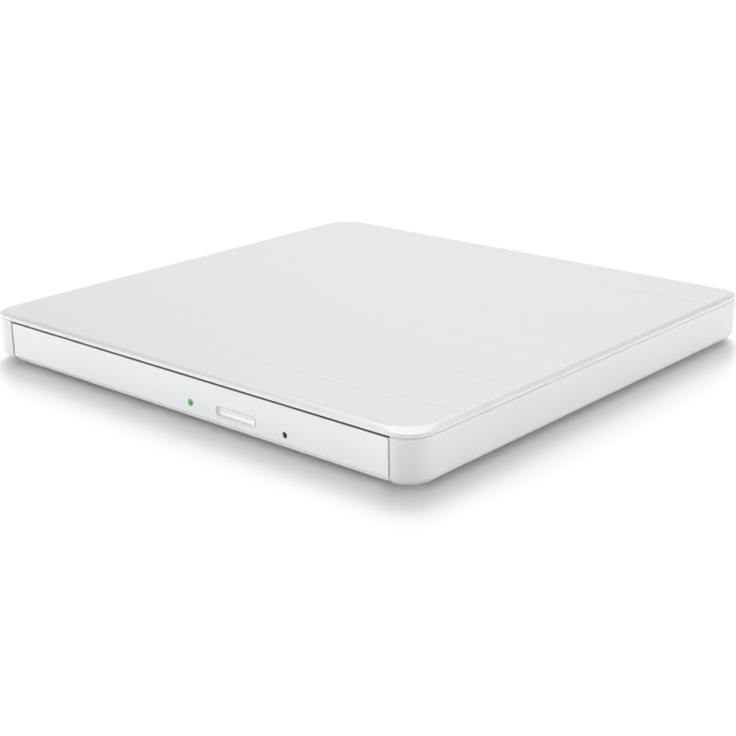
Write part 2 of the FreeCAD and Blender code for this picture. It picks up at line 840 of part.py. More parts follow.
def tray_bezel():
    """Front plate that shares the case's rounded bottom edge."""
    plate = block(-bezel_half, bezel_half, front, bezel_back + 2 * bottom_round, foot_height, bezel_top)
    low = [e for e in plate.Edges
           if e.BoundBox.ZMax < foot_height + 0.01 and e.BoundBox.YMax < front + 0.01]
    plate = plate.makeFillet(bottom_round, low)
    rim = []
    for e in plate.Edges:
        box = e.BoundBox
        on_front = box.YMax < front + 0.01 and box.ZMin > foot_height + bottom_round - 0.01
        on_top = on_front and box.ZMin > bezel_top - 0.01
        on_side = on_front and box.XLength < 0.01
        on_curve = box.XLength < 0.01 and box.ZMax < foot_height + bottom_round + 0.01 and \
            box.YMax < front + bottom_round + 0.01 and box.ZLength > 0.5 and box.YLength > 0.5
        if on_top or on_side or on_curve:
            rim.append(e)
    plate = plate.makeFillet(bezel_edge_round, rim).cut(
        block(-bezel_half - 1, bezel_half + 1, bezel_back, back, 0, case_height))
    cuts = [
        stadium(button_x, button_z, button_length + 2 * button_gap, button_height + 2 * button_gap,
                front - 1, bezel_back + 1),
        bar(V(led_x, front - 1, led_z), BACKWARD, bezel_thickness + 2, led_radius + snug_gap),
        bar(V(release_x, front - 1, release_z), BACKWARD, bezel_thickness + 2, release_radius),
    ]
    half = bezel_tab_width / 2
    tabs = [block(x - half, x + half, bezel_back - root, pocket_front + bezel_tab_reach, tab_z,
                  tab_z + bezel_tab_thickness)
            for x in bezel_tabs]
    return joined([without(plate, cuts)] + tabs)


def eject_button():
    """Stadium-shaped button with a scooped face and a flange behind the plate."""
    flange_y = bezel_back + button_play
    face = stadium(button_x, button_z, button_length, button_height, front, flange_y)
    reach = button_height / 2 - button_rim
    scoop_radius = (reach ** 2 + button_scoop ** 2) / (2 * button_scoop)
    scoop = bar(V(button_x - button_length / 2 + scoop_end, front + button_scoop - scoop_radius, button_z),
                V(1, 0, 0), button_length - 2 * scoop_end, scoop_radius)
    flange = stadium(button_x, button_z, button_length + 2 * button_flange, 2 * flange_half, flange_y,
                     flange_y + button_flange_thickness)
    return joined([face.cut(scoop), flange])


switch_front = pocket_front + 0.4
switch_depth = 3.3
switch_half = 0.95
switch_width = 5.0
cap_half = 0.55
cap_width = 2.4
cap_entry = 0.7
light_width = 1.6
light_depth = 1.4
switch_z = board_under - switch_half
light_front = pocket_front + 0.1
front_board_front = pocket_front + 0.3
front_board_depth = 8.0
front_board_margin = 9.0


def switch_cap():
    start = bezel_back + button_play + button_flange_thickness
    return block(button_x - cap_width / 2, button_x + cap_width / 2, start, switch_front + cap_entry,
                 switch_z - cap_half, switch_z + cap_half)


def front_board_parts():
    """Push switch body and the light source, both on the front board."""
    switch = block(button_x - switch_width / 2, button_x + switch_width / 2, switch_front,
                   switch_front + switch_depth, switch_z - switch_half, board_under)
    half = cap_width / 2 + slide_gap
    hole = block(button_x - half, button_x + half, switch_front - 1,
                 switch_front + cap_entry + 6 * slide_gap, switch_z - cap_half - slide_gap,
                 switch_z + cap_half + slide_gap)
    half = light_width / 2
    light = block(led_x - half, led_x + half, light_front, light_front + light_depth, led_z - half,
                  board_under)
    return Part.makeCompound([switch.cut(hole), light])


def light_pipe():
    pipe = bar(V(led_x, front, led_z), BACKWARD, light_front - snug_gap - front, led_radius)
    rim = [e for e in pipe.Edges if e.BoundBox.YMax < front + 0.01]
    return pipe.makeFillet(light_rim_round, rim)


def front_board():
    return block(led_x - front_board_margin, button_x + front_board_margin, front_board_front,
                 front_board_front + front_board_depth, board_under, plate_under)


def tray_bottom_sheet():
    """Thin steel sheet under the tray, clear of the lock and ejector channels."""
    right = post_x - post_radius - lock_room
    left = -ejector_x + ejector_room
    whole = joined([
        block(-pocket_half - 1.3, left, tray_front + front_wall, pusher_head - 6.0, tray_sheet_z,
              tray_bottom),
        block(left - 1, right, tray_front + front_wall, pocket_step_back - 0.2, tray_sheet_z, tray_bottom),
        block(left - 1, tray_step_x - front_wall, pocket_step_back - 1, tray_back - 0.5, tray_sheet_z,
              tray_bottom)])
    slot = block(flex_left - 2, flex_left + flex_width + 2, pocket_step_back - 8.5, pocket_step_back - 1.0,
                 0, case_height)
    return whole.cut(slot)


def mechanism_cover():
    """Thin sheet in the recess floor with the turntable hole and the lens window."""
    z0 = recess_floor - tray_sheet
    outline = mechanism_window(1.1).common(layer(z0, recess_floor))
    turntable_hole = in_mechanism(post(0, 0, 0, case_height, turntable_radius + 1.0))
    window = in_mechanism(block(12.0, nose_end, -8.0, 8.0, 0, case_height))
    return without(outline, [turntable_hole, window])


def main_board():
    z1 = board_z + board_thickness
    rear = pocket_back - 0.7
    step = pocket_step_back - 0.8
    left = -ejector_x + 4.5
    outline = [(left, rear), (tray_step_x - 2.2, rear), (tray_step_x - 2.2, step), (47.0, step),
               (47.0, front + 80.0), (24.0, front + 80.0), (8.0, front + 96.0), (-30.0, front + 96.0),
               (left, front + 80.0)]
    board = prism(outline, board_z, z1)
    return without(board, [post(x, y, 0, 9, screw_core + 0.2) for x, y in board_posts])


def main_board_chips():
    z = board_z + board_thickness
    rear = pocket_step_back
    chips = [
        block(20.0, 34.0, rear - 28.0, rear - 14.0, z, z + 1.0),
        block(4.0, 14.0, rear - 14.0, rear - 8.0, z, z + 0.9),
        block(-22.0, -13.0, rear - 13.0, rear - 4.0, z, z + 1.0),
        block(-36.0, -31.0, rear - 16.0, rear - 10.0, z, z + 0.8),
        block(flex_left - 1, flex_left + flex_width + 1, rear - 6.5, rear - 3.0, z, z + 1.0),
        block(-4.0, -0.8, rear - 6.0, rear - 3.5, z, z + 0.7),
        block(38.0, 40.5, rear - 22.0, rear - 20.6, z, z + 0.7),
        block(38.0, 40.5, rear - 18.0, rear - 16.6, z, z + 0.7),
    ]
    return Part.makeCompound(chips)


def tray_screws():
    """Screws that hold the main board and the dampers up against the tray's posts."""
    screws = [pan_screw(x, y, board_z, screw_core, short_screw_length, screw_head_radius, screw_head,
                        head_up=False)
              for x, y in board_posts]
    for u, v in damper_spots:
        x, y = mechanism_point(u, v)
        screws.append(pan_screw(x, y, frame_z - damper_collar, screw_core, short_screw_length,
                                screw_head_radius, screw_head, head_up=False))
    return Part.makeCompound(screws)


def flat_cable():
    """Folded flat cable from the fixed rear board to the board in the tray."""
    thickness = flex_thickness
    low = chassis_floor + snug_gap
    high = tray_sheet_z - slide_gap - thickness
    fold_y = front + flex_fold_setback
    x0 = flex_left
    x1 = flex_left + flex_width
    fixed_end = tray_step_back + flex_reach
    fixed_rise = rear_board_z - thickness
    moving_end = pocket_step_back - 1.5
    moving_rise = board_z - thickness
    bend_mid = (low + high + thickness) / 2
    outer = (high + thickness - low) / 2
    ring = bar(V(x0, fold_y, bend_mid), V(1, 0, 0), flex_width, outer)
    ring = ring.cut(bar(V(x0 - 1, fold_y, bend_mid), V(1, 0, 0), flex_width + 2, outer - thickness))
    ring = ring.common(block(x0 - 1, x1 + 1, fold_y - 5, fold_y, 0, case_height))

    def run(points):
        corners = [V(x0, y, z) for y, z in points]
        corners += [V(x0, y, z + thickness) for y, z in reversed(points)]
        return Part.Face(Part.makePolygon(corners + corners[:1])).extrude(V(flex_width, 0, 0))

    fixed_run = run([(fold_y, low), (fixed_end - 4.5, low), (fixed_end - 3.0, fixed_rise),
                     (fixed_end, fixed_rise)])
    moving_run = run([(fold_y, high), (moving_end - 5.0, high), (moving_end - 3.0, moving_rise),
                      (moving_end, moving_rise)])
    return joined([fixed_run, ring, moving_run])


# Lock

spring_x = release_x - lock_spring_offset
spring_anchor_y = pivot_y - lock_spring_setback
lever_z0 = tray_bottom + lever_rise
lever_z1 = lever_z0 + lever_thickness
plunger_x = pivot_x - plunger_arm
plunger_z0 = lever_z1 + slide_gap
plunger_z1 = plunger_z0 + plunger_thickness
solenoid_front = pivot_y + solenoid_gap
lever_half = lever_width / 2


def lock_lever():
    """Lever in its released position; its beak is concentric with the pivot."""
    hub = post(pivot_x, pivot_y, lever_z0, lever_z1, lever_hub_radius)
    ring = post(pivot_x, pivot_y, lever_z0, lever_z1, beak_radius)
    ring = ring.cut(post(pivot_x, pivot_y, 0, case_height, beak_radius - beak_width))
    reach = math.radians(beak_reach_deg)
    far = 2 * beak_radius
    sector = prism([(pivot_x - lever_half, pivot_y), (pivot_x - lever_half, pivot_y - far),
                    (pivot_x + far * math.sin(reach), pivot_y - far * math.cos(reach)),
                    (pivot_x, pivot_y)], lever_z0, lever_z1)
    beak = ring.common(sector)
    arm = block(pivot_x - lever_half, pivot_x + lever_half, pivot_y - beak_radius + beak_width / 2,
                pivot_y, lever_z0, lever_z1)
    half = lever_tail_width / 2
    tail = block(spring_x - half, pivot_x, pivot_y - half, pivot_y + half, lever_z0, lever_z1)
    pin = post(plunger_x, pivot_y, lever_z0, plunger_z1 + slide_gap, plunger_pin_radius)
    lever = joined([hub, beak, arm, tail, pin])
    return lever.cut(post(pivot_x, pivot_y, 0, case_height, pivot_radius + running_gap))


def solenoid_plunger():
    half = plunger_width / 2
    body = block(plunger_x - half, plunger_x + half, pivot_y - plunger_nose,
                 solenoid_front + solenoid_bore - plunger_stroke_room, plunger_z0, plunger_z1)
    across = plunger_pin_radius + 0.25
    along = plunger_pin_radius + 0.15
    slot = block(plunger_x - across, plunger_x + across, pivot_y - along, pivot_y + along, 0, case_height)
    return body.cut(slot)


def solenoid_body():
    half = solenoid_width / 2
    body = block(plunger_x - half, plunger_x + half, solenoid_front, solenoid_front + solenoid_length,
                 tray_bottom + slide_gap, plate_under)
    half = plunger_width / 2 + slide_gap
    bore = block(plunger_x - half, plunger_x + half, solenoid_front - 1, solenoid_front + solenoid_bore,
                 plunger_z0 - slide_gap, plunger_z1 + slide_gap)
    return body.cut(bore)


def lock_spring():
    wire, pitch, mean_radius = lock_coil
    start = spring_anchor_y + spring_anchor_radius + snug_gap + wire
    room = pivot_y - lever_tail_width / 2 - snug_gap - wire - start
    print("lock spring gap to itself", round(pitch - 2 * wire, 3))
    return coil_spring(V(spring_x, start, lever_z0 + lever_thickness / 2), BACKWARD, mean_radius, wire,
                       pitch, room / pitch)


def release_slider():
    half = slider_width / 2
    return block(release_x - half, release_x + half, pivot_y - slider_reach,
                 pivot_y - lever_tail_width / 2 - slider_play, tray_bottom + slide_gap,
                 lever_z1 - slide_gap)


# Mechanism

spindle_base_radius = 13.5
damper_waist = 1.65
motor_start = -2.0
motor_radius = 1.8
motor_length = 13.0
rod_start = 9.2
main_rod_end = lens_end + 4.3
sub_rod_end = lens_end + 1.5
nose_end = lens_end + 7.5
screw_start = motor_start + motor_length + 0.6
screw_end = lens_end - 3.0
thread_lead_in = 2.0
journal_radius = 0.6
ear_radius = 3.2
lug_half = 1.4
tooth_half = 0.22
damper_radius = 2.4
damper_collar = 0.3
bush_reach = 1.6
magnet_thickness = 1.4
magnet_length = 8.0
tooth_u = lens_start - 6.5
# The groove has to lie under the rack's tooth, on the side that faces the pickup
screw_phase_deg = 270.0 - 360.0 * (tooth_u - screw_start - thread_lead_in) / screw_pitch


def frame_ears():
    """Three rounded ears that reach from the frame out to the dampers."""
    z0, z1 = frame_z, frame_top
    width = ear_radius
    front_ear, side_ear, rear_ear = damper_spots
    ears = [post(u, v, z0, z1, width) for u, v in damper_spots]
    ears.append(block(front_ear[0] - width, front_ear[0] + width, 28.0, front_ear[1], z0, z1))
    ears.append(block(side_ear[0] - width, side_ear[0] + width, side_ear[1], -16.5, z0, z1))
    ears.append(block(rear_ear[0], -13.0, rear_ear[1] - width, rear_ear[1] + width, z0, z1))
    return ears


def mechanism_frame():
    """Stamped frame that carries the spindle, the rods and the sled drive."""
    z0, z1 = frame_z, frame_top
    lug_top = plate_under - slide_gap
    plate = joined([block(-16.0, 68.0, -18.5, 31.0, z0, z1)] + frame_ears())
    cuts = [
        block(13.0, nose_end, -9.6, 15.6, 0, case_height),
        block(13.0, sub_rod_end - 0.3, -16.5, -9.0, 0, case_height),
        block(13.0, main_rod_end - 0.7, 15.0, 22.5, 0, case_height),
        block(11.0, screw_end, screw_offset - 1.6, screw_offset + 1.6, 0, case_height),
        block(motor_start - 0.6, motor_start + motor_length + 0.4, screw_offset - 2.2, screw_offset + 2.2,
              0, case_height),
        post(0, 0, 0, case_height, spindle_base_radius - 1.3),
    ]
    cuts += [post(u, v, 0, case_height, damper_waist + snug_gap) for u, v in damper_spots]
    lugs = []
    for offset, far, depth in ((main_rod_offset, main_rod_end, 2.2), (-sub_rod_offset, sub_rod_end, 2.5)):
        for start, length in ((rod_start - 0.2, 3.5), (far, depth)):
            lugs.append(block(start, start + length, offset - lug_half, offset + lug_half, z0, lug_top))
    lugs.append(block(screw_end + 0.2, screw_end + 1.8, screw_offset - 1.5, screw_offset + 1.5, z0,
                      screw_z + 1.2))
    whole = joined([without(plate, cuts)] + lugs)
    holes = [bar(V(rod_start - 1, offset, rod_z), V(1, 0, 0), lens_end, rod_radius + thread_gap)
             for offset in (main_rod_offset, -sub_rod_offset)]
    holes.append(bar(V(screw_end - 1, screw_offset, screw_z), V(1, 0, 0), 6, journal_radius + running_gap))
    room = block(-pocket_half + 0.7, pocket_half - 0.7, pocket_front + 0.7, pocket_back, 0, case_height)
    return in_mechanism(without(whole, holes)).common(room)


def guide_rods():
    rods = []
    for offset, end in ((main_rod_offset, main_rod_end + 2.0), (-sub_rod_offset, sub_rod_end + 2.3)):
        rods.append(bar(V(rod_start, offset, rod_z), V(1, 0, 0), end - rod_start, rod_radius))
    return in_mechanism(Part.makeCompound(rods))


def lead_screw():
    """Screw with a real helical groove and a journal at each end."""
    length = screw_end - screw_start
    core = bar(V(0, 0, 0), UP, length, screw_radius)
    thread_length = length - 2 * thread_lead_in
    helix = Part.makeHelix(screw_pitch, thread_length, screw_radius)
    slope = screw_pitch / (2 * math.pi * screw_radius)
    along = V(0, 1, slope).normalize()
    outward = V(1, 0, 0)
    across = along.cross(outward)
    centre = V(screw_radius, 0, 0)
    half = 0.45
    section = Part.makePolygon([
        centre - outward * thread_depth - across * half,
        centre - outward * thread_depth + across * half,
        centre + outward * 0.3 + across * (half + 0.1),
        centre + outward * 0.3 - across * (half + 0.1),
        centre - outward * thread_depth - across * half])
    groove = Part.Wire(helix.Edges).makePipeShell([section], True, True)
    groove.translate(V(0, 0, thread_lead_in))
    journal_far = bar(V(0, 0, length - 0.5), UP, 2.1, journal_radius)
    journal_near = bar(V(0, 0, -0.5), UP, 1.0, journal_radius)
    screw = joined([core.cut(groove), journal_far, journal_near])
    screw.rotate(V(0, 0, 0), UP, screw_phase_deg)
    screw.rotate(V(0, 0, 0), V(0, 1, 0), 90)
    screw.translate(V(screw_start, screw_offset, screw_z))
    return in_mechanism(screw)


def sled_motor():
    body = bar(V(motor_start, screw_offset, screw_z), V(1, 0, 0), motor_length, motor_radius)
    plate = block(-2.0, 0.0, screw_offset + 1.0, screw_offset + 4.0, frame_top, frame_top + 1.5)
    return in_mechanism(joined([body, plate]))


def sled_rack():
    """Follower plate on the pickup with one tooth in the screw's groove."""
    u0 = lens_start
    plate = block(u0 - 8.5, u0 - 3.0, main_rod_offset + bush_reach, screw_offset - screw_radius - hole_gap,
                  frame_top + 0.15, frame_top + 1.25)
    tooth = block(tooth_u - tooth_half, tooth_u + tooth_half, screw_offset - screw_radius - 0.3,
                  screw_offset - screw_radius + 0.12, screw_z - 0.25, screw_z + 0.25)
    return in_mechanism(joined([plate, tooth]))


def pickup_body():
    """Sliding carrier: bushings on the main rod, a fork on the second rod, a well for the lens."""
    u0 = lens_start
    low = tray_bottom + 0.25
    top = recess_floor - 0.9
    arm_top = rod_z + rod_radius + 0.35
    arm_low = frame_top + 0.05
    body = prism([(u0 - 9.0, -9.0), (u0 + 4.5, -9.0), (u0 + 6.5, -6.0), (u0 + 6.5, 11.0), (u0 + 3.5, 15.0),
                  (u0 - 9.0, 15.0)], low, top)
    arms = [block(u0 - 9.0, u0 + 3.0, 14.0, main_rod_offset + bush_reach, arm_low, arm_top),
            block(u0 - 5.0, u0 + 1.0, -sub_rod_offset - bush_reach, -8.0, arm_low, arm_top)]
    cuts = [
        bar(V(u0 - 12, main_rod_offset, rod_z), V(1, 0, 0), 20, rod_radius + running_gap),
        block(u0 - 12, u0 + 8, -sub_rod_offset - 3, -sub_rod_offset + rod_radius + 0.15,
              rod_z - rod_radius - running_gap, rod_z + rod_radius + running_gap),
        block(u0 - 5.65, u0 + 5.65, -5.4, 5.4, low + 1.1, case_height),
    ]
    return in_mechanism(without(joined([body] + arms), cuts))


def lens_holder():
    u0 = lens_start
    top = recess_floor - 0.5
    body = block(u0 - 3.0, u0 + 3.0, -4.5, 4.5, tray_bottom + 1.85, top)
    hole = post(u0, 0, 0, case_height, 1.5)
    seat = post(u0, 0, top - 0.5, case_height, lens_radius + snug_gap)
    return in_mechanism(without(body, [hole, seat]))


def objective_lens():
    u0 = lens_start
    z0 = recess_floor - 1.0
    dome_radius = 3.2
    rise = dome_radius - math.sqrt(dome_radius ** 2 - lens_radius ** 2)
    flat = post(u0, 0, z0, z0 + 0.4, lens_radius)
    ball = Part.makeSphere(dome_radius, V(u0, 0, z0 + 0.4 + rise - dome_radius))
    dome = ball.common(post(u0, 0, z0 + 0.3, z0 + 2.0, lens_radius))
    return in_mechanism(joined([flat, dome]))


def actuator_magnets():
    u0 = lens_start
    low = tray_bottom + 1.35
    half = magnet_thickness / 2
    pair = [block(u0 + side * 4.9 - half, u0 + side * 4.9 + half, -magnet_length / 2, magnet_length / 2,
                  low, recess_floor - 0.95)
            for side in (-1, 1)]
    return in_mechanism(Part.makeCompound(pair))


def actuator_cover():
    u0 = lens_start
    z0 = recess_floor - 0.9
    cover = block(u0 - 6.4, u0 + 6.3, -6.6, 6.6, z0, z0 + 0.2)
    return in_mechanism(cover.cut(block(u0 - 3.5, u0 + 3.5, -5.0, 5.0, 0, case_height)))


def dampers():
    rings = []
    for u, v in damper_spots:
        low = post(u, v, frame_z - damper_collar, frame_z, damper_radius)
        waist = post(u, v, frame_z, frame_top, damper_waist)
        high = post(u, v, frame_top, frame_top + damper_flange, damper_radius)
        rings.append(joined([low, waist, high]).cut(post(u, v, 0, case_height, screw_core + slide_gap)))
    return in_mechanism(Part.makeCompound(rings))


# Spindle

shaft = 0.9
bearing_radius = 2.4
base_plate = 0.35
rotor_radius = 11.4
rotor_wall = 0.8
rotor_top = recess_floor - 0.4
stator_radius = 10.2
stator_rise = 0.6
stator_height = 1.0
stator_hub = 4.6
tooth_count = 9
ring_groove = (10.95, 14.05)


def spindle_base():
    plate = post(0, 0, frame_z - base_plate, frame_z, spindle_base_radius)
    sleeve = post(0, 0, frame_z - slide_gap, rotor_top - 0.7, bearing_radius)
    bore = post(0, 0, frame_z - slide_gap, case_height, shaft + running_gap)
    return in_mechanism(without(joined([plate, sleeve]), [bore]))


def stator_core():
    z0 = frame_z + stator_rise
    z1 = z0 + stator_height
    core = post(0, 0, z0, z1, stator_hub)
    shapes = [core]
    for index in range(tooth_count):
        angle = 360.0 * index / tooth_count
        leg = block(4.0, stator_radius - 1.2, -0.7, 0.7, z0, z1)
        tip = post(0, 0, z0, z1, stator_radius).cut(post(0, 0, 0, case_height, stator_radius - 1.3))
        tip = tip.common(block(0, stator_radius + 1, -2.4, 2.4, z0, z1))
        for shape in (leg, tip):
            shape.rotate(V(0, 0, 0), UP, angle)
            shapes.append(shape)
    return in_mechanism(joined(shapes).cut(post(0, 0, 0, case_height, bearing_radius + snug_gap)))


def stator_windings():
    z0 = frame_z + stator_rise
    z1 = z0 + stator_height
    coils = []
    for index in range(tooth_count):
        coil = block(5.2, stator_radius - 1.7, -1.25, 1.25, z0 - 0.4, z1 + 0.4)
        coil = coil.cut(block(4.0, stator_radius, -0.72, 0.72, z0 - 0.02, z1 + 0.02))
        coil.rotate(V(0, 0, 0), UP, 360.0 * index / tooth_count)
        coils.append(coil)
    return in_mechanism(Part.makeCompound(coils))


def spindle_rotor():
    """Inverted cup on a shaft, around the stator."""
    cup = post(0, 0, frame_z + 0.5, rotor_top, rotor_radius)
    cup = cup.cut(post(0, 0, 0, rotor_top - 0.4, rotor_radius - rotor_wall))
    axle = post(0, 0, frame_z, disc_seat + 0.4, shaft)
    return in_mechanism(joined([cup, axle]))


def turntable():
    """Disc seat with the centring hub and its claw slots."""
    seat_z = disc_seat - ring_proud
    plate = post(0, 0, seat_z - turntable_thickness, seat_z, turntable_radius)
    neck = post(0, 0, rotor_top, seat_z, 4.0)
    wall = post(0, 0, seat_z, disc_seat + hub_wall, hub_radius)
    nose = Part.makeCone(hub_radius, hub_radius - hub_taper, hub_height - hub_wall,
                         V(0, 0, disc_seat + hub_wall))
    hub = joined([wall, nose])
    groove = post(0, 0, seat_z - (ring_thickness - ring_proud), seat_z + 1, ring_groove[1])
    groove = groove.cut(post(0, 0, 0, case_height, ring_groove[0]))
    cuts = [groove, post(0, 0, 0, disc_seat + 0.45, shaft + snug_gap)]
    for index in range(claw_count):
        slot = block(claw_slot, hub_radius + 1, -claw_width / 2 - slide_gap, claw_width / 2 + slide_gap,
                     disc_seat + claw_low - snug_gap, disc_seat + claw_high + snug_gap)
        slot.rotate(V(0, 0, 0), UP, 120.0 * index)
        cuts.append(slot)
    return in_mechanism(without(joined([plate, neck, hub]), cuts))


def friction_ring():
    inner, outer = ring_groove
    ring = post(0, 0, disc_seat - ring_thickness, disc_seat, outer - snug_gap)
    return in_mechanism(ring.cut(post(0, 0, 0, case_height, inner + snug_gap)))


def chuck_claw(index):
    """Sliding claw whose nose stands out over the edge of the disc's hole."""
    z0 = disc_seat + claw_low
    z1 = disc_seat + claw_high
    tip = hub_radius + claw_nose
    under = hub_radius - slide_gap
    profile = [V(claw_root, 0, z0), V(under, 0, z0), V(under, 0, disc_seat + 1.25),
               V(tip, 0, disc_seat + 1.4), V(hub_radius - 0.5, 0, z1), V(claw_root, 0, z1),
               V(claw_root, 0, z0)]
    claw = Part.Face(Part.makePolygon(profile)).extrude(V(0, claw_width, 0))
    claw.translate(V(0, -claw_width / 2, 0))
    claw.rotate(V(0, 0, 0), UP, 120.0 * index)
    return in_mechanism(claw)


def claw_springs():
    springs = []
    wire, pitch, mean_radius = claw_coil
    room = claw_root - claw_slot - 2 * wire - 2 * snug_gap
    middle = disc_seat + (claw_low + claw_high) / 2
    for index in range(claw_count):
        spring = coil_spring(V(claw_slot + wire + snug_gap, 0, middle), V(1, 0, 0), mean_radius, wire,
                             pitch, room / pitch)
        spring.rotate(V(0, 0, 0), UP, 120.0 * index)
        springs.append(spring)
    print("claw spring gap to itself", round(pitch - 2 * wire, 3))
    return in_mechanism(Part.makeCompound(springs))


def build_all():
    nodes = {
        "top_cover": top_cover(),
        "bottom_case": bottom_case(),
        "rubber_feet": rubber_feet(),
        "case_screws": case_screws(),
        "rear_screws": rear_screws(),
        "bridge_board": bridge_board(),
        "bridge_chips": bridge_chips(),
        "usb_port": usb_port(),
        "link_plug": link_plug(),
        "link_socket": link_socket(),
        "link_board": link_board(),
        "drive_chassis": drive_chassis(),
        "drive_top_sheet": drive_top_sheet(),
        "left_rail_guide": rail_guide(-1),
        "right_rail_guide": rail_guide(1),
        "left_slide_rail": slide_rail(-1),
        "right_slide_rail": slide_rail(1),
        "lock_post": lock_post(),
        "ejector_housing": ejector_housing(),
        "ejector_pusher": ejector_pusher(),
        "ejector_spring": ejector_spring(),
        "tray": tray(),
        "tray_bezel": tray_bezel(),
        "eject_button": eject_button(),
        "switch_cap": switch_cap(),
        "front_board_parts": front_board_parts(),
        "light_pipe": light_pipe(),
        "front_board": front_board(),
        "tray_bottom_sheet": tray_bottom_sheet(),
        "mechanism_cover": mechanism_cover(),
        "main_board": main_board(),
        "main_board_chips": main_board_chips(),
        "tray_screws": tray_screws(),
        "flat_cable": flat_cable(),
        "lock_lever": lock_lever(),
        "solenoid_plunger": solenoid_plunger(),
        "solenoid_body": solenoid_body(),
        "lock_spring": lock_spring(),
        "release_slider": release_slider(),
        "mechanism_frame": mechanism_frame(),
        "guide_rods": guide_rods(),
        "lead_screw": lead_screw(),
        "sled_motor": sled_motor(),
        "sled_rack": sled_rack(),
        "pickup_body": pickup_body(),
        "lens_holder": lens_holder(),
        "objective_lens": objective_lens(),
        "actuator_magnets": actuator_magnets(),
        "actuator_cover": actuator_cover(),
        "dampers": dampers(),
        "spindle_base": spindle_base(),
        "stator_core": stator_core(),
        "stator_windings": stator_windings(),
        "spindle_rotor": spindle_rotor(),
        "turntable": turntable(),
        "friction_ring": friction_ring(),
    }
    for index in range(claw_count):
        nodes["chuck_claw_" + "abc"[index]] = chuck_claw(index)
    nodes["claw_springs"] = claw_springs()
    return nodes


os.makedirs("parts", exist_ok=True)
for name, shape in build_all().items():
    shape.translate(V(drive_offset, 0, 0))
    shape.exportStep("parts/" + name + ".step")
    solids = len(shape.Solids)
    print(name, "solids", solids, "valid", shape.isValid(), "volume", round(shape.Volume, 2))
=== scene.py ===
import json
import math
import bmesh
import bpy
from mathutils import Matrix, Vector

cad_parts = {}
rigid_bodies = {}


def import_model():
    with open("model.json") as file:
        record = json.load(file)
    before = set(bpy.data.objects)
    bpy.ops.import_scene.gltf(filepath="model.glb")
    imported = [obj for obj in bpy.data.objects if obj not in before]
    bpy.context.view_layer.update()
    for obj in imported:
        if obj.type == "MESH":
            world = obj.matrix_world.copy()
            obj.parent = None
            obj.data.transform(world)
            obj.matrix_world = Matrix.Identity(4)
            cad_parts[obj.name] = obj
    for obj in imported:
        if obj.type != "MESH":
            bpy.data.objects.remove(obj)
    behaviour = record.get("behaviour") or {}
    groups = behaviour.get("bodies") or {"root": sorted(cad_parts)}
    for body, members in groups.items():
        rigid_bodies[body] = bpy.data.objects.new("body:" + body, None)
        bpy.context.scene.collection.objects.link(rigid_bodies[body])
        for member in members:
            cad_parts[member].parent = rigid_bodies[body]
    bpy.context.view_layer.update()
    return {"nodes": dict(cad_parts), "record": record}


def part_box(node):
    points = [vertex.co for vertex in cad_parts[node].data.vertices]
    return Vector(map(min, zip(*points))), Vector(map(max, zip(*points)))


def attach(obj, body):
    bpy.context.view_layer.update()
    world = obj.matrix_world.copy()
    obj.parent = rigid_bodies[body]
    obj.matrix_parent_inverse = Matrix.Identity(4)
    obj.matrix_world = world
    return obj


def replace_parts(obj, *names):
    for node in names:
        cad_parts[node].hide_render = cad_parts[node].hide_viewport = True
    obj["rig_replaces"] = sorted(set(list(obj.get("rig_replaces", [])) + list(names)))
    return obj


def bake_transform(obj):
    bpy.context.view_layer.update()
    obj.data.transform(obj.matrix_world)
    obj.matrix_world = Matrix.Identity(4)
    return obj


# External DVD drive: looks of each piece, floor, light and camera. Lengths in this file
# are millimetres in the part's own frame, and become metres when a mesh is made.

MM = 0.001
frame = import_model()
nodes = frame["nodes"]


def span(node):
    """Lowest and highest corner of a CAD node, in millimetres."""
    return [[round(v / MM, 3) for v in corner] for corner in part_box(node)]


def centre(node):
    """Middle of a CAD node, in millimetres."""
    return [round((a + b) / 2, 2) for a, b in zip(*span(node))]


# Case: footprint and heights from the frame, then wall, upright corners and chamfer
(LEFT, FRONT, UNDERSIDE), (RIGHT, BACK, SEAM) = span("bottom_case")
TOP = span("top_cover")[1][2]
WALL = 1.5
CORNER = 6.8
FACE_CORNER = 9.3
CHAMFER = 1.7
CORNER_STEPS = 16

# Inset and height along the lid's edge: inside, underside, rim, chamfer and crest
LID_RIM_FOOT = SEAM + 0.1
LID_PROFILE = (
    (WALL, TOP - 1.0), (WALL, SEAM + 0.05), (WALL - 0.05, SEAM), (0.24, SEAM), (0.10, SEAM + 0.03),
    (0.03, LID_RIM_FOOT), (0.0, SEAM + 0.22), (0.0, SEAM + 0.70), (0.02, SEAM + 0.80),
    (0.09, SEAM + 0.873), (0.22, SEAM + 0.92), (1.20, TOP - 0.130), (1.50, TOP - 0.058),
    (1.75, TOP - 0.018), (2.05, TOP - 0.002), (2.5, TOP),
)

# The same for the tub's wall, down to where its outside is upright
TUB_EDGE = SEAM - 0.03
TUB_PROFILE = (
    (WALL, 2.0), (WALL, TUB_EDGE - 0.05), (WALL - 0.05, TUB_EDGE), (0.28, TUB_EDGE), (0.12, TUB_EDGE - 0.03),
    (0.03, TUB_EDGE - 0.12), (0.0, TUB_EDGE - 0.26), (0.0, TUB_EDGE - 0.6),
)
# Height of the crease where the wall turns under, tilt and steps of the curve from there on,
# and inset of the flat underside
CREASE = 2.6
CREASE_TILT = 20
CURVE_STEPS = 12
UNDERSIDE_INSET = 3.3

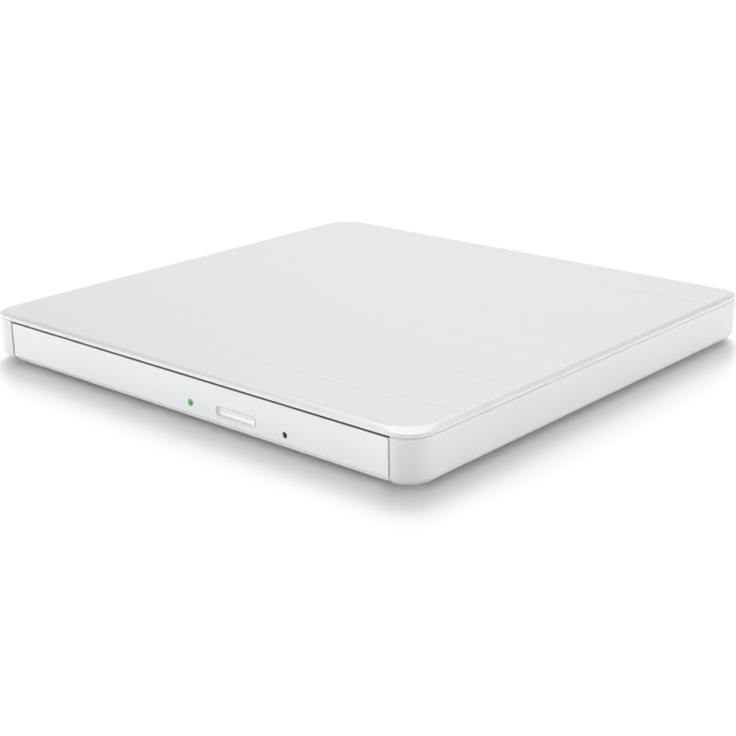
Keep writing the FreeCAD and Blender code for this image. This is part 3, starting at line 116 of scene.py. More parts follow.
# Front plate: its ends, the right one drawn in, then back, top and foot. Its face is sunk a
# little above the crease, and behind its thin rim the plate is smaller by a step
PLATE_LEFT = span("tray_bezel")[0][0]
PLATE_RIGHT = span("tray_bezel")[1][0] - 0.40
PLATE_BACK = -66.55
PLATE_TOP = 11.22
PLATE_FOOT = UNDERSIDE + 0.02
FACE_SINK = 0.12
RIM = 0.75
RIM_STEP = 1.3
MIDDLE = centre("tray_bezel")[0]

# Places (y, z) along the plate's section: back, face, crease, slope and underside
PLATE_PROFILE = (
    (PLATE_BACK, PLATE_TOP), (FRONT + FACE_SINK, PLATE_TOP), (FRONT + FACE_SINK, 3.12), (FRONT, 2.88),
    (FRONT + 0.03, 2.80), (FRONT + 0.76, 1.72), (FRONT + 0.98, 1.45), (FRONT + 1.38, 1.18),
    (FRONT + 1.95, PLATE_FOOT), (PLATE_BACK, PLATE_FOOT),
)
# Opening for the plate in the tub: play at the left, at the right and behind
OPENING_LEFT = 0.4
OPENING_RIGHT = 0.52
OPENING_BACK = 0.4
# Play round the socket in the back wall
INLET_PLAY = 0.2
# How far a cutter reaches past what it cuts
PAST = 1.0

# Least angle of an edge that is rounded, width of the widest rounding, and shares of it
ROUNDED_ANGLE = 14
ROUNDING = 0.60
END_SHARE = 1.0
TOP_SHARE = 0.5
OPENING_SHARE = 0.13
INNER_SHARE = 0.05
# An edge this long is one of the creases along the plate
LONG_EDGE = 60.0
# Distances within which points count as lying in one plane, as level with each other and as one
SAME_PLANE = 0.01
LEVEL = 0.001
SAME_POINT = 0.0001

# Button, light and release hole: places (x, z) in the front plane, size of the button, its
# gap at the ends and along its sides, and widths of the round openings
BUTTON = (centre("eject_button")[0], centre("eject_button")[2])
BUTTON_SIZE = (12.5, 2.55)
BUTTON_GAP = (0.19, 0.03)
LIGHT = (centre("light_pipe")[0], centre("light_pipe")[2])
LIGHT_HOLE = 1.72
RELEASE = (MIDDLE + 34.2, 4.6)
RELEASE_HOLE = 1.46
RELEASE_WELL = 3.4
WELL_DEPTH = 0.55

# Inset and depth from the flank of the button to its dished middle
BUTTON_PROFILE = (
    (0.0, 1.9), (0.0, 0.13), (0.02, 0.08), (0.06, 0.05), (0.10, 0.06), (0.18, 0.15), (0.32, 0.33),
    (0.48, 0.48), (0.68, 0.58), (0.90, 0.63), (1.05, 0.65), (1.20, 0.655),
)
# How much larger the button's flange is, and how far behind the plate it starts and ends
FLANGE_MORE = (1.4, 0.6)
FLANGE_DEPTH = (0.15, 0.7)

# How far the light pipe's dome lies inside the face, then radius and depth from foot to dome
LIGHT_SINK = 0.03
LIGHT_PROFILE = ((0.80, 3.6), (0.80, 0.16), (0.76, 0.10), (0.68, 0.06), (0.5, 0.02), (0.25, 0.0))

# Steps of the round ends of holes, button and light, then of a coil's turn, round its wire,
# and of the cable's fold
HOLE_STEPS = 24
BUTTON_STEPS = 20
LIGHT_STEPS = 16
COIL_STEPS = 18
WIRE_SIDES = 8
FOLD_STEPS = 24

# Springs by ends, radius of the turns, radius of the wire and number of turns
EJECTOR_COIL = ((-49.8, 59.2, 4.2), (-49.8, 53.0, 4.2), 1.15, 0.15, 6.2)
LOCK_COIL = ((32.3, -53.2, 4.6), (32.3, -41.9, 4.6), 0.75, 0.10, 17.385)
CLAW_COIL = (0.42, 0.08, 3.233)
CLAW_COIL_HEIGHT = 9.45
CLAW_COIL_REACH = (1.93, 3.87)
CLAW_ANGLES = {"a": 45, "b": 165, "c": 285}

# Flat cable: sides, thickness, place of its fold, and heights of its two lengths
CABLE_SIDES = (MIDDLE + 25.0, MIDDLE + 37.0)
CABLE_THICKNESS = 0.14
FOLD = -14.5
CABLE_LOW = 2.53
CABLE_HIGH = 2.92


# Meshes

def piece(name, bm, body, slot, replaced=()):
    """Turn a bmesh in millimetres into a smooth mesh, which rides on a body if one is given."""
    bmesh.ops.scale(bm, vec=(MM, MM, MM), verts=bm.verts)
    bmesh.ops.recalc_face_normals(bm, faces=bm.faces)
    mesh = bpy.data.meshes.new(name)
    bm.to_mesh(mesh)
    bm.free()
    obj = bpy.data.objects.new(name, mesh)
    bpy.context.scene.collection.objects.link(obj)
    smooth(obj)
    if body:
        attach(obj, body)
        mesh.materials.append(finish(slot))
    if replaced:
        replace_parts(obj, *replaced)
    return obj


def smooth(obj):
    """Shade a piece as rounded, not as single facets."""
    for face in obj.data.polygons:
        face.use_smooth = True


def ring(inset, radius, z):
    """Points of a rounded outline inside the footprint, anticlockwise."""
    x0, x1, y0, y1 = LEFT + inset, RIGHT - inset, FRONT + inset, BACK - inset
    points = []
    corners = ((x1 - radius, y1 - radius), (x0 + radius, y1 - radius),
               (x0 + radius, y0 + radius), (x1 - radius, y0 + radius))
    for quarter, (cx, cy) in enumerate(corners):
        for step in range(CORNER_STEPS + 1):
            a = math.radians(90 * quarter + 90 * step / CORNER_STEPS)
            points.append((cx + radius * math.cos(a), cy + radius * math.sin(a), z))
    return points


def loft(bm, rings):
    """Skin between outlines of equal length, closed at the first and the last."""
    loops = [[bm.verts.new(p) for p in points] for points in rings]
    for lower, upper in zip(loops, loops[1:]):
        count = len(lower)
        for k in range(count):
            n = (k + 1) % count
            bm.faces.new((lower[k], lower[n], upper[n], upper[k]))
    bm.faces.new(list(reversed(loops[0])))
    bm.faces.new(loops[-1])


def block(x, y, z):
    """Box between two values along each axis."""
    bm = bmesh.new()
    for vert in bmesh.ops.create_cube(bm, size=1.0)["verts"]:
        vert.co = Vector([ends[place > 0] for ends, place in zip((x, y, z), vert.co)])
    return bm


def stadium(x, z, length, height, steps=14):
    """Outline in the front plane with half-round ends, as (x, z) pairs."""
    r = height / 2
    reach = length / 2 - r
    points = []
    for side, start in ((1, -90), (-1, 90)):
        for step in range(steps + 1):
            a = math.radians(start + 180 * step / steps)
            points.append((x + side * reach + r * math.cos(a), z + r * math.sin(a)))
    return points


def prism(outline, y0, y1):
    """Closed prism behind an outline given in the front plane."""
    bm = bmesh.new()
    loft(bm, [[(x, y, z) for x, z in outline] for y in (y0, y1)])
    return bm


def carve(obj, cutters):
    """Cut each bmesh, in millimetres, out of a piece for good."""
    for bm in cutters:
        tool = piece("cutter", bm, None, None)
        modifier = obj.modifiers.new("cut", "BOOLEAN")
        modifier.operation = "DIFFERENCE"
        modifier.solver = "EXACT"
        modifier.object = tool
        bpy.context.view_layer.update()
        evaluated = obj.evaluated_get(bpy.context.evaluated_depsgraph_get())
        mesh = bpy.data.meshes.new_from_object(evaluated)
        obj.modifiers.clear()
        old, obj.data = obj.data, mesh
        bpy.data.meshes.remove(old)
        bpy.data.objects.remove(tool)
    smooth(obj)


def keep_flat(obj):
    """Shade large faces flat beside rounded edges."""
    flat = obj.modifiers.new("normals", "WEIGHTED_NORMAL")
    flat.keep_sharp = True
    flat.weight = 80


def soften(obj, width, segments=2, angle=35):
    """Small rounded edges, with flat faces kept flat."""
    bevel = obj.modifiers.new("edges", "BEVEL")
    bevel.width = width * MM
    bevel.segments = segments
    bevel.limit_method = "ANGLE"
    bevel.angle_limit = math.radians(angle)
    bevel.use_clamp_overlap = True
    keep_flat(obj)


# Nodes of a material

# Places of the mix node's factor, two inputs and output, by what it mixes
MIX_SOCKETS = {"FLOAT": (0, 2, 3, 0), "RGBA": (0, 6, 7, 2)}


def new_material(name):
    material = bpy.data.materials.new(name)
    material.use_nodes = True
    return material, material.node_tree, material.node_tree.nodes["Principled BSDF"]


def feed(tree, socket, value):
    """Link a value to a socket, or set it there if it is a number."""
    if isinstance(value, float):
        socket.default_value = value
    else:
        tree.links.new(value, socket)


def coordinates(tree):
    """Place in the part's own frame, in metres."""
    return tree.nodes.new("ShaderNodeTexCoord").outputs["Object"]


def grain(tree, scale, stretch=(1, 1, 1), detail=4.0, seed=0.0):
    """Noise in the part's own frame, finer along an axis the larger its stretch."""
    mapping = tree.nodes.new("ShaderNodeMapping")
    mapping.inputs["Scale"].default_value = stretch
    mapping.inputs["Location"].default_value = (seed, seed * 0.7, seed * 0.3)
    noise = tree.nodes.new("ShaderNodeTexNoise")
    noise.inputs["Scale"].default_value = scale
    noise.inputs["Detail"].default_value = detail
    tree.links.new(coordinates(tree), mapping.inputs["Vector"])
    tree.links.new(mapping.outputs["Vector"], noise.inputs["Vector"])
    return noise.outputs["Fac"]


def ramp(tree, value, low, high, start=0.3, end=0.7, shape="LINEAR"):
    """Change from low to high while the value goes from start to end."""
    node = tree.nodes.new("ShaderNodeMapRange")
    node.interpolation_type = shape
    node.inputs["From Min"].default_value = start
    node.inputs["From Max"].default_value = end
    node.inputs["To Min"].default_value = low
    node.inputs["To Max"].default_value = high
    tree.links.new(value, node.inputs["Value"])
    return node.outputs["Result"]


def join(tree, operation, first, second):
    """Sum, product or the like of two values, each a socket or a number."""
    node = tree.nodes.new("ShaderNodeMath")
    node.operation = operation
    feed(tree, node.inputs[0], first)
    feed(tree, node.inputs[1], second)
    return node.outputs[0]


def mix(tree, kind, share, first, second):
    """Blend from the first value or colour to the second by a share."""
    node = tree.nodes.new("ShaderNodeMix")
    node.data_type = kind
    factor, a, b, result = MIX_SOCKETS[kind]
    feed(tree, node.inputs[factor], share)
    feed(tree, node.inputs[a], first)
    feed(tree, node.inputs[b], second)
    return node.outputs[result]


def bands(tree, value, stops):
    """Colours along a value, as (position, colour) pairs."""
    node = tree.nodes.new("ShaderNodeValToRGB")
    elements = node.color_ramp.elements
    while len(elements) < len(stops):
        elements.new(0.5)
    for element, (position, colour) in zip(elements, stops):
        element.position = position
        element.color = (*colour, 1)
    tree.links.new(value, node.inputs["Fac"])
    return node.outputs["Color"]


def tint(tree, value, dark, light, start=0.3, end=0.7):
    """Colour from dark to light while the value goes from start to end."""
    return bands(tree, value, ((start, dark), (end, light)))


def bump(tree, shader, value, strength, distance):
    """Relief of a surface, its depth in millimetres."""
    node = tree.nodes.new("ShaderNodeBump")
    node.inputs["Strength"].default_value = strength
    node.inputs["Distance"].default_value = distance * MM
    tree.links.new(value, node.inputs["Height"])
    tree.links.new(node.outputs["Normal"], shader.inputs["Normal"])


def shades(colour, spread):
    """The colour made darker and lighter by a share of itself."""
    return [[min(1.0, c * factor) for c in colour] for factor in (1 - spread, 1 + spread)]


# Materials

# Scales of the flow marks and of the skin texture in moulded plastic
FLOW_SCALE = 35
SKIN_SCALE = 2500
# Scale of the stains on metal, and of the traces under solder mask
STAIN_SCALE = 22
TRACE_SCALE = 420

# Lid: colour of the brushed top, then tones from the seam up: painted shade on the rim's underside at the
# seam, the rim lightened by painted light, the chamfer, and a painted highlight on the crest
BRUSHED = ((0.518, 0.521, 0.518), (0.592, 0.596, 0.591))
LID_PAINTED_SHADE_AND_LIGHT = ((0.0, 0.12), (0.02, 0.83), (0.62, 0.83), (0.72, 0.575), (0.89, 0.578), (0.93, 0.63),
             (0.975, 0.63), (1.0, 0.585))
LID_GREEN = 1.004
# Heights where the crest's painted highlight gives way to the brushed top
CREST_HIGHLIGHT_FADE = (TOP - 0.03, TOP - 0.002)
# Scale and stretch of the fine strokes and of the more marked ones, and the places from left
# to right between which the marked ones appear
FINE_STROKES = (60, (0.10, 22, 1))
MARKED_STROKES = (40, (0.16, 16, 1))
STROKE_FADE = (-10, 45)
# Roughness in the dark strokes and in the light ones
LID_ROUGH = (0.31, 0.27)


def moulded(name, colour, rough, spread=0.03, depth=0.01, gloss=0.5):
    """Moulded plastic: faint flow marks in the colour, fine skin texture in the gloss."""
    material, tree, shader = new_material(name)
    flow = grain(tree, FLOW_SCALE, detail=3, seed=1.3)
    tree.links.new(tint(tree, flow, *shades(colour, spread)), shader.inputs["Base Color"])
    fine = grain(tree, SKIN_SCALE, detail=2)
    tree.links.new(ramp(tree, fine, rough * 0.9, rough * 1.1), shader.inputs["Roughness"])
    bump(tree, shader, fine, 0.25, depth)
    shader.inputs["Specular IOR Level"].default_value = gloss
    return material


def metal(name, colour, rough, stretch=(1, 30, 30), spread=0.06, scale=120, depth=0.004):
    """Rolled, ground or cast metal: fine grain, mostly along one axis, and faint stains."""
    material, tree, shader = new_material(name)
    shader.inputs["Metallic"].default_value = 1.0
    lines = grain(tree, scale, stretch, detail=5)
    stain = grain(tree, STAIN_SCALE, detail=3, seed=4.1)
    both = mix(tree, "FLOAT", 0.5, lines, stain)
    tree.links.new(tint(tree, both, *shades(colour, spread)), shader.inputs["Base Color"])
    tree.links.new(ramp(tree, lines, rough * 0.8, rough * 1.25), shader.inputs["Roughness"])
    bump(tree, shader, lines, 0.3, depth)
    return material


def lid_paint(name):
    """White paint over a sheet brushed from side to side, with more marked strokes on the right, painted
    shade under the rim at the seam, the rim lightened by painted light, and a painted highlight on the
    crest.
    """
    material, tree, shader = new_material(name)
    axes = tree.nodes.new("ShaderNodeSeparateXYZ")
    tree.links.new(coordinates(tree), axes.inputs["Vector"])
    strokes = grain(tree, *FINE_STROKES, detail=4)
    marks = ramp(tree, grain(tree, *MARKED_STROKES, detail=2, seed=2.0), 0.4, 0.0, 0.29, 0.40)
    side = ramp(tree, axes.outputs["X"], 0.0, 1.0, *(x * MM for x in STROKE_FADE))
    shown = join(tree, "MULTIPLY", marks, side)
    tone = join(tree, "SUBTRACT", ramp(tree, strokes, 0.5, 0.72), shown)
    brushed = tint(tree, tone, *BRUSHED, 0.0, 1.0)
    rise = ramp(tree, axes.outputs["Z"], 0.0, 1.0, SEAM * MM, TOP * MM)
    # Tones by height: painted shade at the seam, painted light on the rim and a painted highlight on the
    # crest
    edge = bands(tree, rise, [(place, (grey, grey * LID_GREEN, grey)) for place, grey in LID_PAINTED_SHADE_AND_LIGHT])
    # The crest's painted highlight fades into the brushed top
    on_top = ramp(tree, axes.outputs["Z"], 0.0, 1.0, *(z * MM for z in CREST_HIGHLIGHT_FADE))
    tree.links.new(mix(tree, "RGBA", on_top, edge, brushed), shader.inputs["Base Color"])
    tree.links.new(ramp(tree, tone, *LID_ROUGH, 0.0, 1.0), shader.inputs["Roughness"])
    bump(tree, shader, strokes, 0.06, 0.002)
    return material


def circuit_board(name):
    """Solder mask with traces just showing through it."""
    material, tree, shader = new_material(name)
    traces = tree.nodes.new("ShaderNodeTexVoronoi")
    traces.distance = "MANHATTAN"
    traces.inputs["Scale"].default_value = TRACE_SCALE
    tree.links.new(coordinates(tree), traces.inputs["Vector"])
    mask = tint(tree, traces.outputs["Distance"], (0.012, 0.085, 0.040), (0.022, 0.140, 0.062), 0.42, 0.55)
    tree.links.new(mask, shader.inputs["Base Color"])
    bump(tree, shader, traces.outputs["Distance"], 0.2, 0.02)
    shader.inputs["Roughness"].default_value = 0.32
    return material


def lamp_green(name):
    """Clear green light pipe, lit from behind."""
    material, tree, shader = new_material(name)
    glow = grain(tree, 900, detail=1)
    tree.links.new(tint(tree, glow, (0.035, 0.24, 0.04), (0.08, 0.36, 0.08)), shader.inputs["Base Color"])
    shader.inputs["Roughness"].default_value = 0.15
    shader.inputs["Emission Color"].default_value = (0.10, 0.60, 0.10, 1)
    shader.inputs["Emission Strength"].default_value = 0.12
    return material


def lens(name):
    """Small coated lens with a violet sheen."""
    material, tree, shader = new_material(name)
    film = grain(tree, 300, detail=1)
    tree.links.new(tint(tree, film, (0.10, 0.10, 0.28), (0.18, 0.14, 0.42)), shader.inputs["Base Color"])
    shader.inputs["Roughness"].default_value = 0.05
    shader.inputs["Transmission Weight"].default_value = 0.6
    shader.inputs["Coat Weight"].default_value = 0.6
    return material


FINISHES = {
    "lid_white": lid_paint,
    "case_white": lambda n: moulded(n, (0.812, 0.810, 0.826), 0.30, 0.008),
    "bezel_white": lambda n: moulded(n, (0.838, 0.858, 0.860), 0.22, 0.006, depth=0.004),
    "rubber_grey": lambda n: moulded(n, (0.055, 0.055, 0.058), 0.75, 0.15, depth=0.03, gloss=0.3),
    "steel": lambda n: metal(n, (0.48, 0.49, 0.50), 0.38),
    "dark_steel": lambda n: metal(n, (0.17, 0.175, 0.18), 0.48),
    "polished_steel": lambda n: metal(n, (0.78, 0.78, 0.79), 0.16, spread=0.03),
    "black_plastic": lambda n: moulded(n, (0.022, 0.022, 0.024), 0.45, 0.10, depth=0.015),
    "grey_plastic": lambda n: moulded(n, (0.16, 0.165, 0.175), 0.42, 0.06),
    "board_green": circuit_board,
    "chip_black": lambda n: moulded(n, (0.020, 0.020, 0.022), 0.55, 0.12, depth=0.015),
    "connector_black": lambda n: moulded(n, (0.030, 0.030, 0.034), 0.40, 0.08),
    "copper": lambda n: metal(n, (0.62, 0.27, 0.10), 0.30, (20, 20, 1), 0.12, 300, 0.02),
    "cable_white": lambda n: moulded(n, (0.60, 0.60, 0.57), 0.35, 0.04),
    "led_green": lamp_green,
    "lens_glass": lens,
    "cast_zinc": lambda n: metal(n, (0.44, 0.45, 0.46), 0.50, (1, 1, 1), 0.08, 900, 0.02),
    "magnet": lambda n: metal(n, (0.60, 0.60, 0.62), 0.22, spread=0.04),
    "amber_plastic": lambda n: moulded(n, (0.30, 0.16, 0.04), 0.35, 0.06),
}
made_finishes = {}


def finish(slot):
    """The material of a slot, made when it is first asked for."""
    if slot not in made_finishes:
        made_finishes[slot] = FINISHES[slot](slot)
    return made_finishes[slot]


# Outer shell

def lid_radius(inset, z):
    """Radius of the lid's corner: like the tub's at the foot of the rim, wider up the chamfer."""
    if z <= LID_RIM_FOOT:
        return CORNER - inset
    return CORNER + (FACE_CORNER - CORNER) * min(1.0, inset / CHAMFER) - max(0.0, inset - CHAMFER)


def lid():
    bm = bmesh.new()
    loft(bm, [ring(inset, lid_radius(inset, z), z) for inset, z in LID_PROFILE])
    obj = piece("lid", bm, "case", "lid_white", ["top_cover"])
    soften(obj, 0.03, segments=1, angle=60)


def tub():
    """Open shell with its wall turned under in a curve, and openings for front plate and socket."""
    start = math.radians(CREASE_TILT)
    radius = (CREASE - UNDERSIDE) / (1 - math.sin(start))
    profile = list(TUB_PROFILE)
    for step in range(CURVE_STEPS + 1):
        a = start + (math.pi / 2 - start) * step / CURVE_STEPS
        profile.append((radius * (math.cos(start) - math.cos(a)), UNDERSIDE + radius * (1 - math.sin(a))))
    profile.append((UNDERSIDE_INSET, UNDERSIDE))
    bm = bmesh.new()
    loft(bm, [ring(inset, CORNER - inset, z) for inset, z in profile])
    obj = piece("tub", bm, "case", "case_white", ["bottom_case"])
    low, high = span("usb_port")
    inlet_x, inlet_z = ((low[axis] - INLET_PLAY, high[axis] + INLET_PLAY) for axis in (0, 2))
    carve(obj, [
        block((PLATE_LEFT - OPENING_LEFT, PLATE_RIGHT + OPENING_RIGHT),
              (FRONT - PAST, PLATE_BACK + OPENING_BACK), (0, SEAM + PAST)),
        block(inlet_x, (BACK - WALL - PAST, BACK + PAST), inlet_z),
    ])
    for line in obj.data.edges:
        if all(abs(obj.data.vertices[v].co.z / MM - CREASE) < SAME_PLANE for v in line.vertices):
            line.use_edge_sharp = True
    soften(obj, 0.12, angle=50)


def bezel():
    """Front plate with a creased lower edge, a thin rim, and openings for button, light and pin."""
    bm = bmesh.new()
    loft(bm, [[(x, y, z) for y, z in PLATE_PROFILE] for x in (PLATE_LEFT, PLATE_RIGHT)])
    obj = piece("bezel", bm, "tray", "bezel_white", ["tray_bezel"])
    slot = [size + 2 * gap for size, gap in zip(BUTTON_SIZE, BUTTON_GAP)]
    front, back = FRONT - PAST, PLATE_BACK + PAST
    left, right = PLATE_LEFT - PAST, PLATE_RIGHT + PAST
    cutters = [prism(stadium(*BUTTON, *slot), front, back)]
    for place, width, start in ((LIGHT, LIGHT_HOLE, front), (RELEASE, RELEASE_HOLE, front),
                                (RELEASE, RELEASE_WELL, FRONT + WELL_DEPTH)):
        cutters.append(prism(stadium(*place, width, width, HOLE_STEPS), start, back))
    for sides, foot in (((left, right), PLATE_TOP - RIM_STEP), ((left, PLATE_LEFT + RIM_STEP), 0.0),
                        ((PLATE_RIGHT - RIM_STEP, right), 0.0)):
        cutters.append(block(sides, (FRONT + RIM, back), (foot, PLATE_TOP + PAST)))
    carve(obj, cutters)
    round_plate(obj)


def rounding_share(a, b):
    """Share of the rounding for an edge between two points, or none for a crease along the plate."""
    middle = (a + b) / 2
    if middle.y > FRONT + RIM - SAME_PLANE:
        return INNER_SHARE
    if min(abs(middle.x - PLATE_LEFT), abs(middle.x - PLATE_RIGHT)) < SAME_PLANE:
        return END_SHARE
    if middle.z > PLATE_TOP - SAME_PLANE:
        return TOP_SHARE
    if abs(a.z - b.z) < LEVEL and abs(a.x - b.x) > LONG_EDGE:
        return None
    return OPENING_SHARE


def round_plate(obj):
    """Round the plate's ends most and its openings least, and keep its long creases sharp."""
    bm = bmesh.new()
    bm.from_mesh(obj.data)
    bmesh.ops.remove_doubles(bm, verts=bm.verts, dist=SAME_POINT * MM)
    layer = bm.edges.layers.float.new("bevel_weight_edge")
    for edge in bm.edges:
        if len(edge.link_faces) != 2 or edge.calc_face_angle(0) < math.radians(ROUNDED_ANGLE):
            continue
        share = rounding_share(*(vert.co / MM for vert in edge.verts))
        if share is None:
            edge.smooth = False
        else:
            edge[layer] = share
    bm.to_mesh(obj.data)
    bm.free()
    smooth(obj)
    bevel = obj.modifiers.new("edges", "BEVEL")
    bevel.width = ROUNDING * MM
    bevel.segments = 3
    bevel.limit_method = "WEIGHT"
    keep_flat(obj)


def button():
    """Dished button with rounded ends, and the flange behind the plate that keeps it in."""
    length, height = BUTTON_SIZE
    bm = bmesh.new()
    loft(bm, [[(x, FRONT + depth, z) for x, z in
               stadium(*BUTTON, length - 2 * inset, height - 2 * inset, BUTTON_STEPS)]
              for inset, depth in BUTTON_PROFILE])
    face = piece("button", bm, "button", "bezel_white", ["eject_button"])
    outline = stadium(*BUTTON, length + FLANGE_MORE[0], height + FLANGE_MORE[1])
    flange = prism(outline, *(PLATE_BACK + depth for depth in FLANGE_DEPTH))
    back = piece("button_flange", flange, "button", "bezel_white")
    soften(back, 0.08)
    soften(face, 0.02, segments=1, angle=80)


def light():
    """Light pipe with a domed face just inside its hole."""
    bm = bmesh.new()
    loft(bm, [[(x, FRONT + LIGHT_SINK + depth, z) for x, z in
               stadium(*LIGHT, 2 * radius, 2 * radius, LIGHT_STEPS)]
              for radius, depth in LIGHT_PROFILE])
    piece("light", bm, "tray", "led_green", ["light_pipe"])


# Springs and flat cable

def soft_piece(name, bm, slot, node):
    """Piece that rides on no body, with the slot's material, in place of a CAD node."""
    obj = piece(name, bm, None, None)
    obj.data.materials.append(finish(slot))
    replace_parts(obj, node)
    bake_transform(obj)


def coil(name, node, bodies, start, end, radius, wire, turns):
    """Unbroken helical wire from start to end with evenly spaced turns."""
    start, end = Vector(start), Vector(end)
    axis = (end - start).normalized()
    side = axis.orthogonal().normalized()
    up = axis.cross(side)
    rings = []
    steps = int(turns * COIL_STEPS)
    for step in range(steps + 1):
        a = 2 * math.pi * turns * step / steps
        radial = side * math.cos(a) + up * math.sin(a)
        middle = start.lerp(end, step / steps) + radial * radius
        rings.append([middle + (radial * math.cos(b) + axis * math.sin(b)) * wire
                      for b in (2 * math.pi * k / WIRE_SIDES for k in range(WIRE_SIDES))])
    bm = bmesh.new()
    loft(bm, rings)
    soft_piece(name, bm, "polished_steel", node)


def springs():
    coil("ejector_coil", "ejector_spring", ("case", "ejector"), *EJECTOR_COIL)
    coil("lock_coil", "lock_spring", ("tray", "lever"), *LOCK_COIL)
    x, y, _ = centre("turntable")
    hub = Vector((x, y, CLAW_COIL_HEIGHT))
    for letter, degrees in CLAW_ANGLES.items():
        out = Vector((math.cos(math.radians(degrees)), math.sin(math.radians(degrees)), 0))
        start, end = (hub + out * reach for reach in CLAW_COIL_REACH)
        coil("claw_coil_" + letter, "claw_springs", ("spindle", "claw_" + letter), start, end, *CLAW_COIL)


def ribbon(path):
    """Length of the flat cable along a path of (y, z) points."""
    rings = []
    for index, (y, z) in enumerate(path):
        before, after = path[max(0, index - 1)], path[min(len(path) - 1, index + 1)]
        along = Vector((0, after[0] - before[0], after[1] - before[1])).normalized()
        normal = Vector((0, -along.z, along.y)) * CABLE_THICKNESS / 2
        x0, x1 = CABLE_SIDES
        rings.append([Vector((x, y, z)) + side for x, side in
                      ((x0, -normal), (x1, -normal), (x1, normal), (x0, normal))])
    bm = bmesh.new()
    loft(bm, rings)
    return bm


def cable():
    """Flat cable in three lengths: fixed below, moving above, and the fold between them."""
    fixed = [(56.7, 2.82), (53.75, 2.82), (53.4, 2.76), (52.6, 2.59), (52.25, CABLE_LOW), (FOLD, CABLE_LOW)]
    piece("cable_fixed", ribbon(fixed), "case", "cable_white", ["flat_cable"])
    moving = [(FOLD, CABLE_HIGH), (44.75, CABLE_HIGH), (45.2, 3.02), (46.3, 3.5), (46.75, 3.62),
              (49.7, 3.62)]
    piece("cable_moving", ribbon(moving), "tray", "cable_white", ["flat_cable"])
    middle, radius = (CABLE_LOW + CABLE_HIGH) / 2, (CABLE_HIGH - CABLE_LOW) / 2
    turn = [(FOLD - radius * math.sin(a), middle - radius * math.cos(a))
            for a in (math.pi * k / FOLD_STEPS for k in range(FOLD_STEPS + 1))]
    soft_piece("cable_fold", ribbon(turn), "cable_white", "flat_cable")


# Nodes kept from the frame

# These are too finely shaped for merged facets and rounded edges
FINE = {"lead_screw", "objective_lens", "stator_windings"}
# Reach of welding, angle within which facets merge, and width of a rounded edge
WELD_REACH = 0.002
FLAT_ANGLE = 1.0
EDGE_WIDTH = 0.06


def kept_nodes():
    """Give each CAD node its material, and those that show small rounded edges."""
    replaced = {name for obj in bpy.data.objects for name in obj.get("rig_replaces", [])}
    slots = {item["node"]: item["material_slot"] for item in frame["record"]["subparts"]}
    for name, obj in nodes.items():
        obj.data.materials.clear()
        obj.data.materials.append(finish(slots[name]))
        if name in replaced:
            continue
        weld = obj.modifiers.new("weld", "WELD")
        weld.merge_threshold = WELD_REACH * MM
        if name not in FINE:
            thin = obj.modifiers.new("thin", "DECIMATE")
            thin.decimate_type = "DISSOLVE"
            thin.angle_limit = math.radians(FLAT_ANGLE)
            soften(obj, EDGE_WIDTH)
        smooth(obj)


# Floor, light and camera

FLOOR_RADIUS = 6000
FLOOR_GREYS = (0.975, 0.98)

# Strength of the sky, then its broad glows: azimuth and elevation in degrees, cosines of
# the angles from there where the glow starts and is full, and the strength it adds
SKY = 0.212
GLOWS = ((216.0, 56.8, 0.70, 0.99, 1.76), (219.7, 48.7, 0.968, 0.98, 6.2),
         (222.0, 9.0, 0.89, 0.94, 0.95))
# Lights low over the floor: sines of the elevations between which they fade out, then
# azimuth, cosine of the spread and strength of each
LOW_BAND = (0.176, 0.367)
LOW_LIGHTS = ((-52.0, 0.571, 6.9), (103.0, 0.571, 3.75))

# Side lamp: its place, the point that it faces, its width, and its power in watts
LAMP_PLACE = (250, 165, 90)
LAMP_AIM = (72, 60, 6)
LAMP_SIZE = 120
LAMP_POWER = 0.055

# Camera: azimuth, elevation and roll in degrees, the point it looks at, its distance from
# there, and the widths of sensor and focal length
CAMERA_ANGLES = (41.791, 18.638, -0.917)
CAMERA_AIM = (33.914, -39.149, SEAM)
CAMERA_DISTANCE = 326.87
SENSOR = 36
FOCAL_LENGTH = 69.80


def direction(azimuth, elevation):
    """Unit vector towards a place, its azimuth counted from the front round to the right."""
    a, e = math.radians(azimuth), math.radians(elevation)
    return Vector((math.sin(a) * math.cos(e), -math.cos(a) * math.cos(e), math.sin(e)))


def floor():
    bm = bmesh.new()
    bmesh.ops.create_circle(bm, cap_ends=True, segments=96, radius=FLOOR_RADIUS)
    obj = piece("floor", bm, None, None)
    material, tree, shader = new_material("floor")
    dust = grain(tree, 8, detail=2)
    tree.links.new(tint(tree, dust, *([grey] * 3 for grey in FLOOR_GREYS)), shader.inputs["Base Color"])
    shader.inputs["Roughness"].default_value = 0.16
    shader.inputs["Specular IOR Level"].default_value = 0.2
    obj.data.materials.append(material)


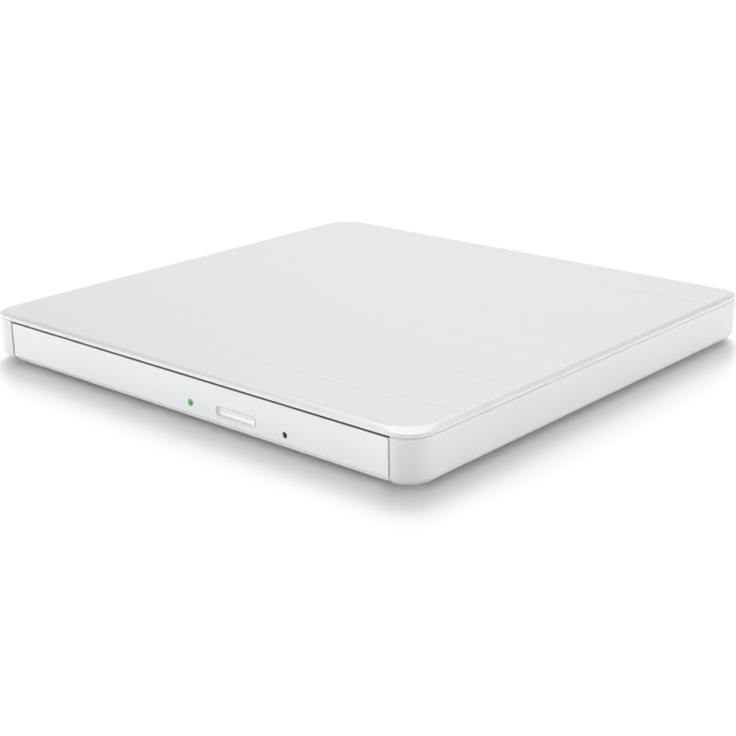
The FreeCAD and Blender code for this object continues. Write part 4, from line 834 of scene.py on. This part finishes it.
def world():
    """Studio surroundings: an even sky with a wide glow behind the drive, opposite the camera, a
    small bright glow in it and a low one beneath, and two soft lights just over the floor, one
    at the front left and one at the right."""
    sky = bpy.data.worlds.new("studio")
    sky.use_nodes = True
    tree = sky.node_tree
    place = tree.nodes.new("ShaderNodeTexCoord").outputs["Generated"]

    def nearness(azimuth, elevation):
        """Cosine of the angle between a place in the sky and the one given."""
        dot = tree.nodes.new("ShaderNodeVectorMath")
        dot.operation = "DOT_PRODUCT"
        dot.inputs[1].default_value = direction(azimuth, elevation)
        tree.links.new(place, dot.inputs[0])
        return dot.outputs["Value"]

    total = SKY
    for azimuth, elevation, start, full, strength in GLOWS:
        glow = ramp(tree, nearness(azimuth, elevation), 0.0, strength, start, full, "SMOOTHSTEP")
        total = join(tree, "ADD", total, glow)
    low = ramp(tree, nearness(0, 90), 1.0, 0.0, *LOW_BAND, "SMOOTHSTEP")
    for azimuth, spread, strength in LOW_LIGHTS:
        lobe = ramp(tree, nearness(azimuth, 0), 0.0, strength, spread, 1.0, "SMOOTHSTEP")
        total = join(tree, "ADD", total, join(tree, "MULTIPLY", lobe, low))
    background = tree.nodes["Background"]
    background.inputs["Color"].default_value = (1.0, 1.0, 1.0, 1)
    tree.links.new(total, background.inputs["Strength"])
    bpy.context.scene.world = sky


def side_lamp():
    """Small soft box beyond the right side, which lifts that wall towards its far end."""
    data = bpy.data.lights.new("side_lamp", "AREA")
    data.shape = "DISK"
    data.size = LAMP_SIZE * MM
    data.energy = LAMP_POWER
    lamp = bpy.data.objects.new("side_lamp", data)
    lamp.location = Vector(LAMP_PLACE) * MM
    lamp.rotation_mode = "QUATERNION"
    lamp.rotation_quaternion = (Vector(LAMP_AIM) - Vector(LAMP_PLACE)).to_track_quat("-Z", "Y")
    bpy.context.scene.collection.objects.link(lamp)


def camera():
    """Camera at the photograph's place and angle."""
    azimuth, elevation, roll = CAMERA_ANGLES
    back = direction(azimuth, elevation)
    cam = bpy.data.objects.new("camera", bpy.data.cameras.new("camera"))
    cam.location = (Vector(CAMERA_AIM) + back * CAMERA_DISTANCE) * MM
    cam.rotation_mode = "QUATERNION"
    tilt = Matrix.Rotation(math.radians(roll), 3, "Z").to_quaternion()
    cam.rotation_quaternion = (-back).to_track_quat("-Z", "Y") @ tilt
    cam.data.sensor_width = SENSOR
    cam.data.lens = FOCAL_LENGTH
    cam.data.clip_start = 0.01
    cam.data.clip_end = 20
    bpy.context.scene.collection.objects.link(cam)
    bpy.context.scene.camera = cam


lid()
tub()
bezel()
button()
light()
springs()
cable()
kept_nodes()
floor()
world()
side_lamp()
camera()
bpy.context.scene.view_settings.view_transform = "Standard"
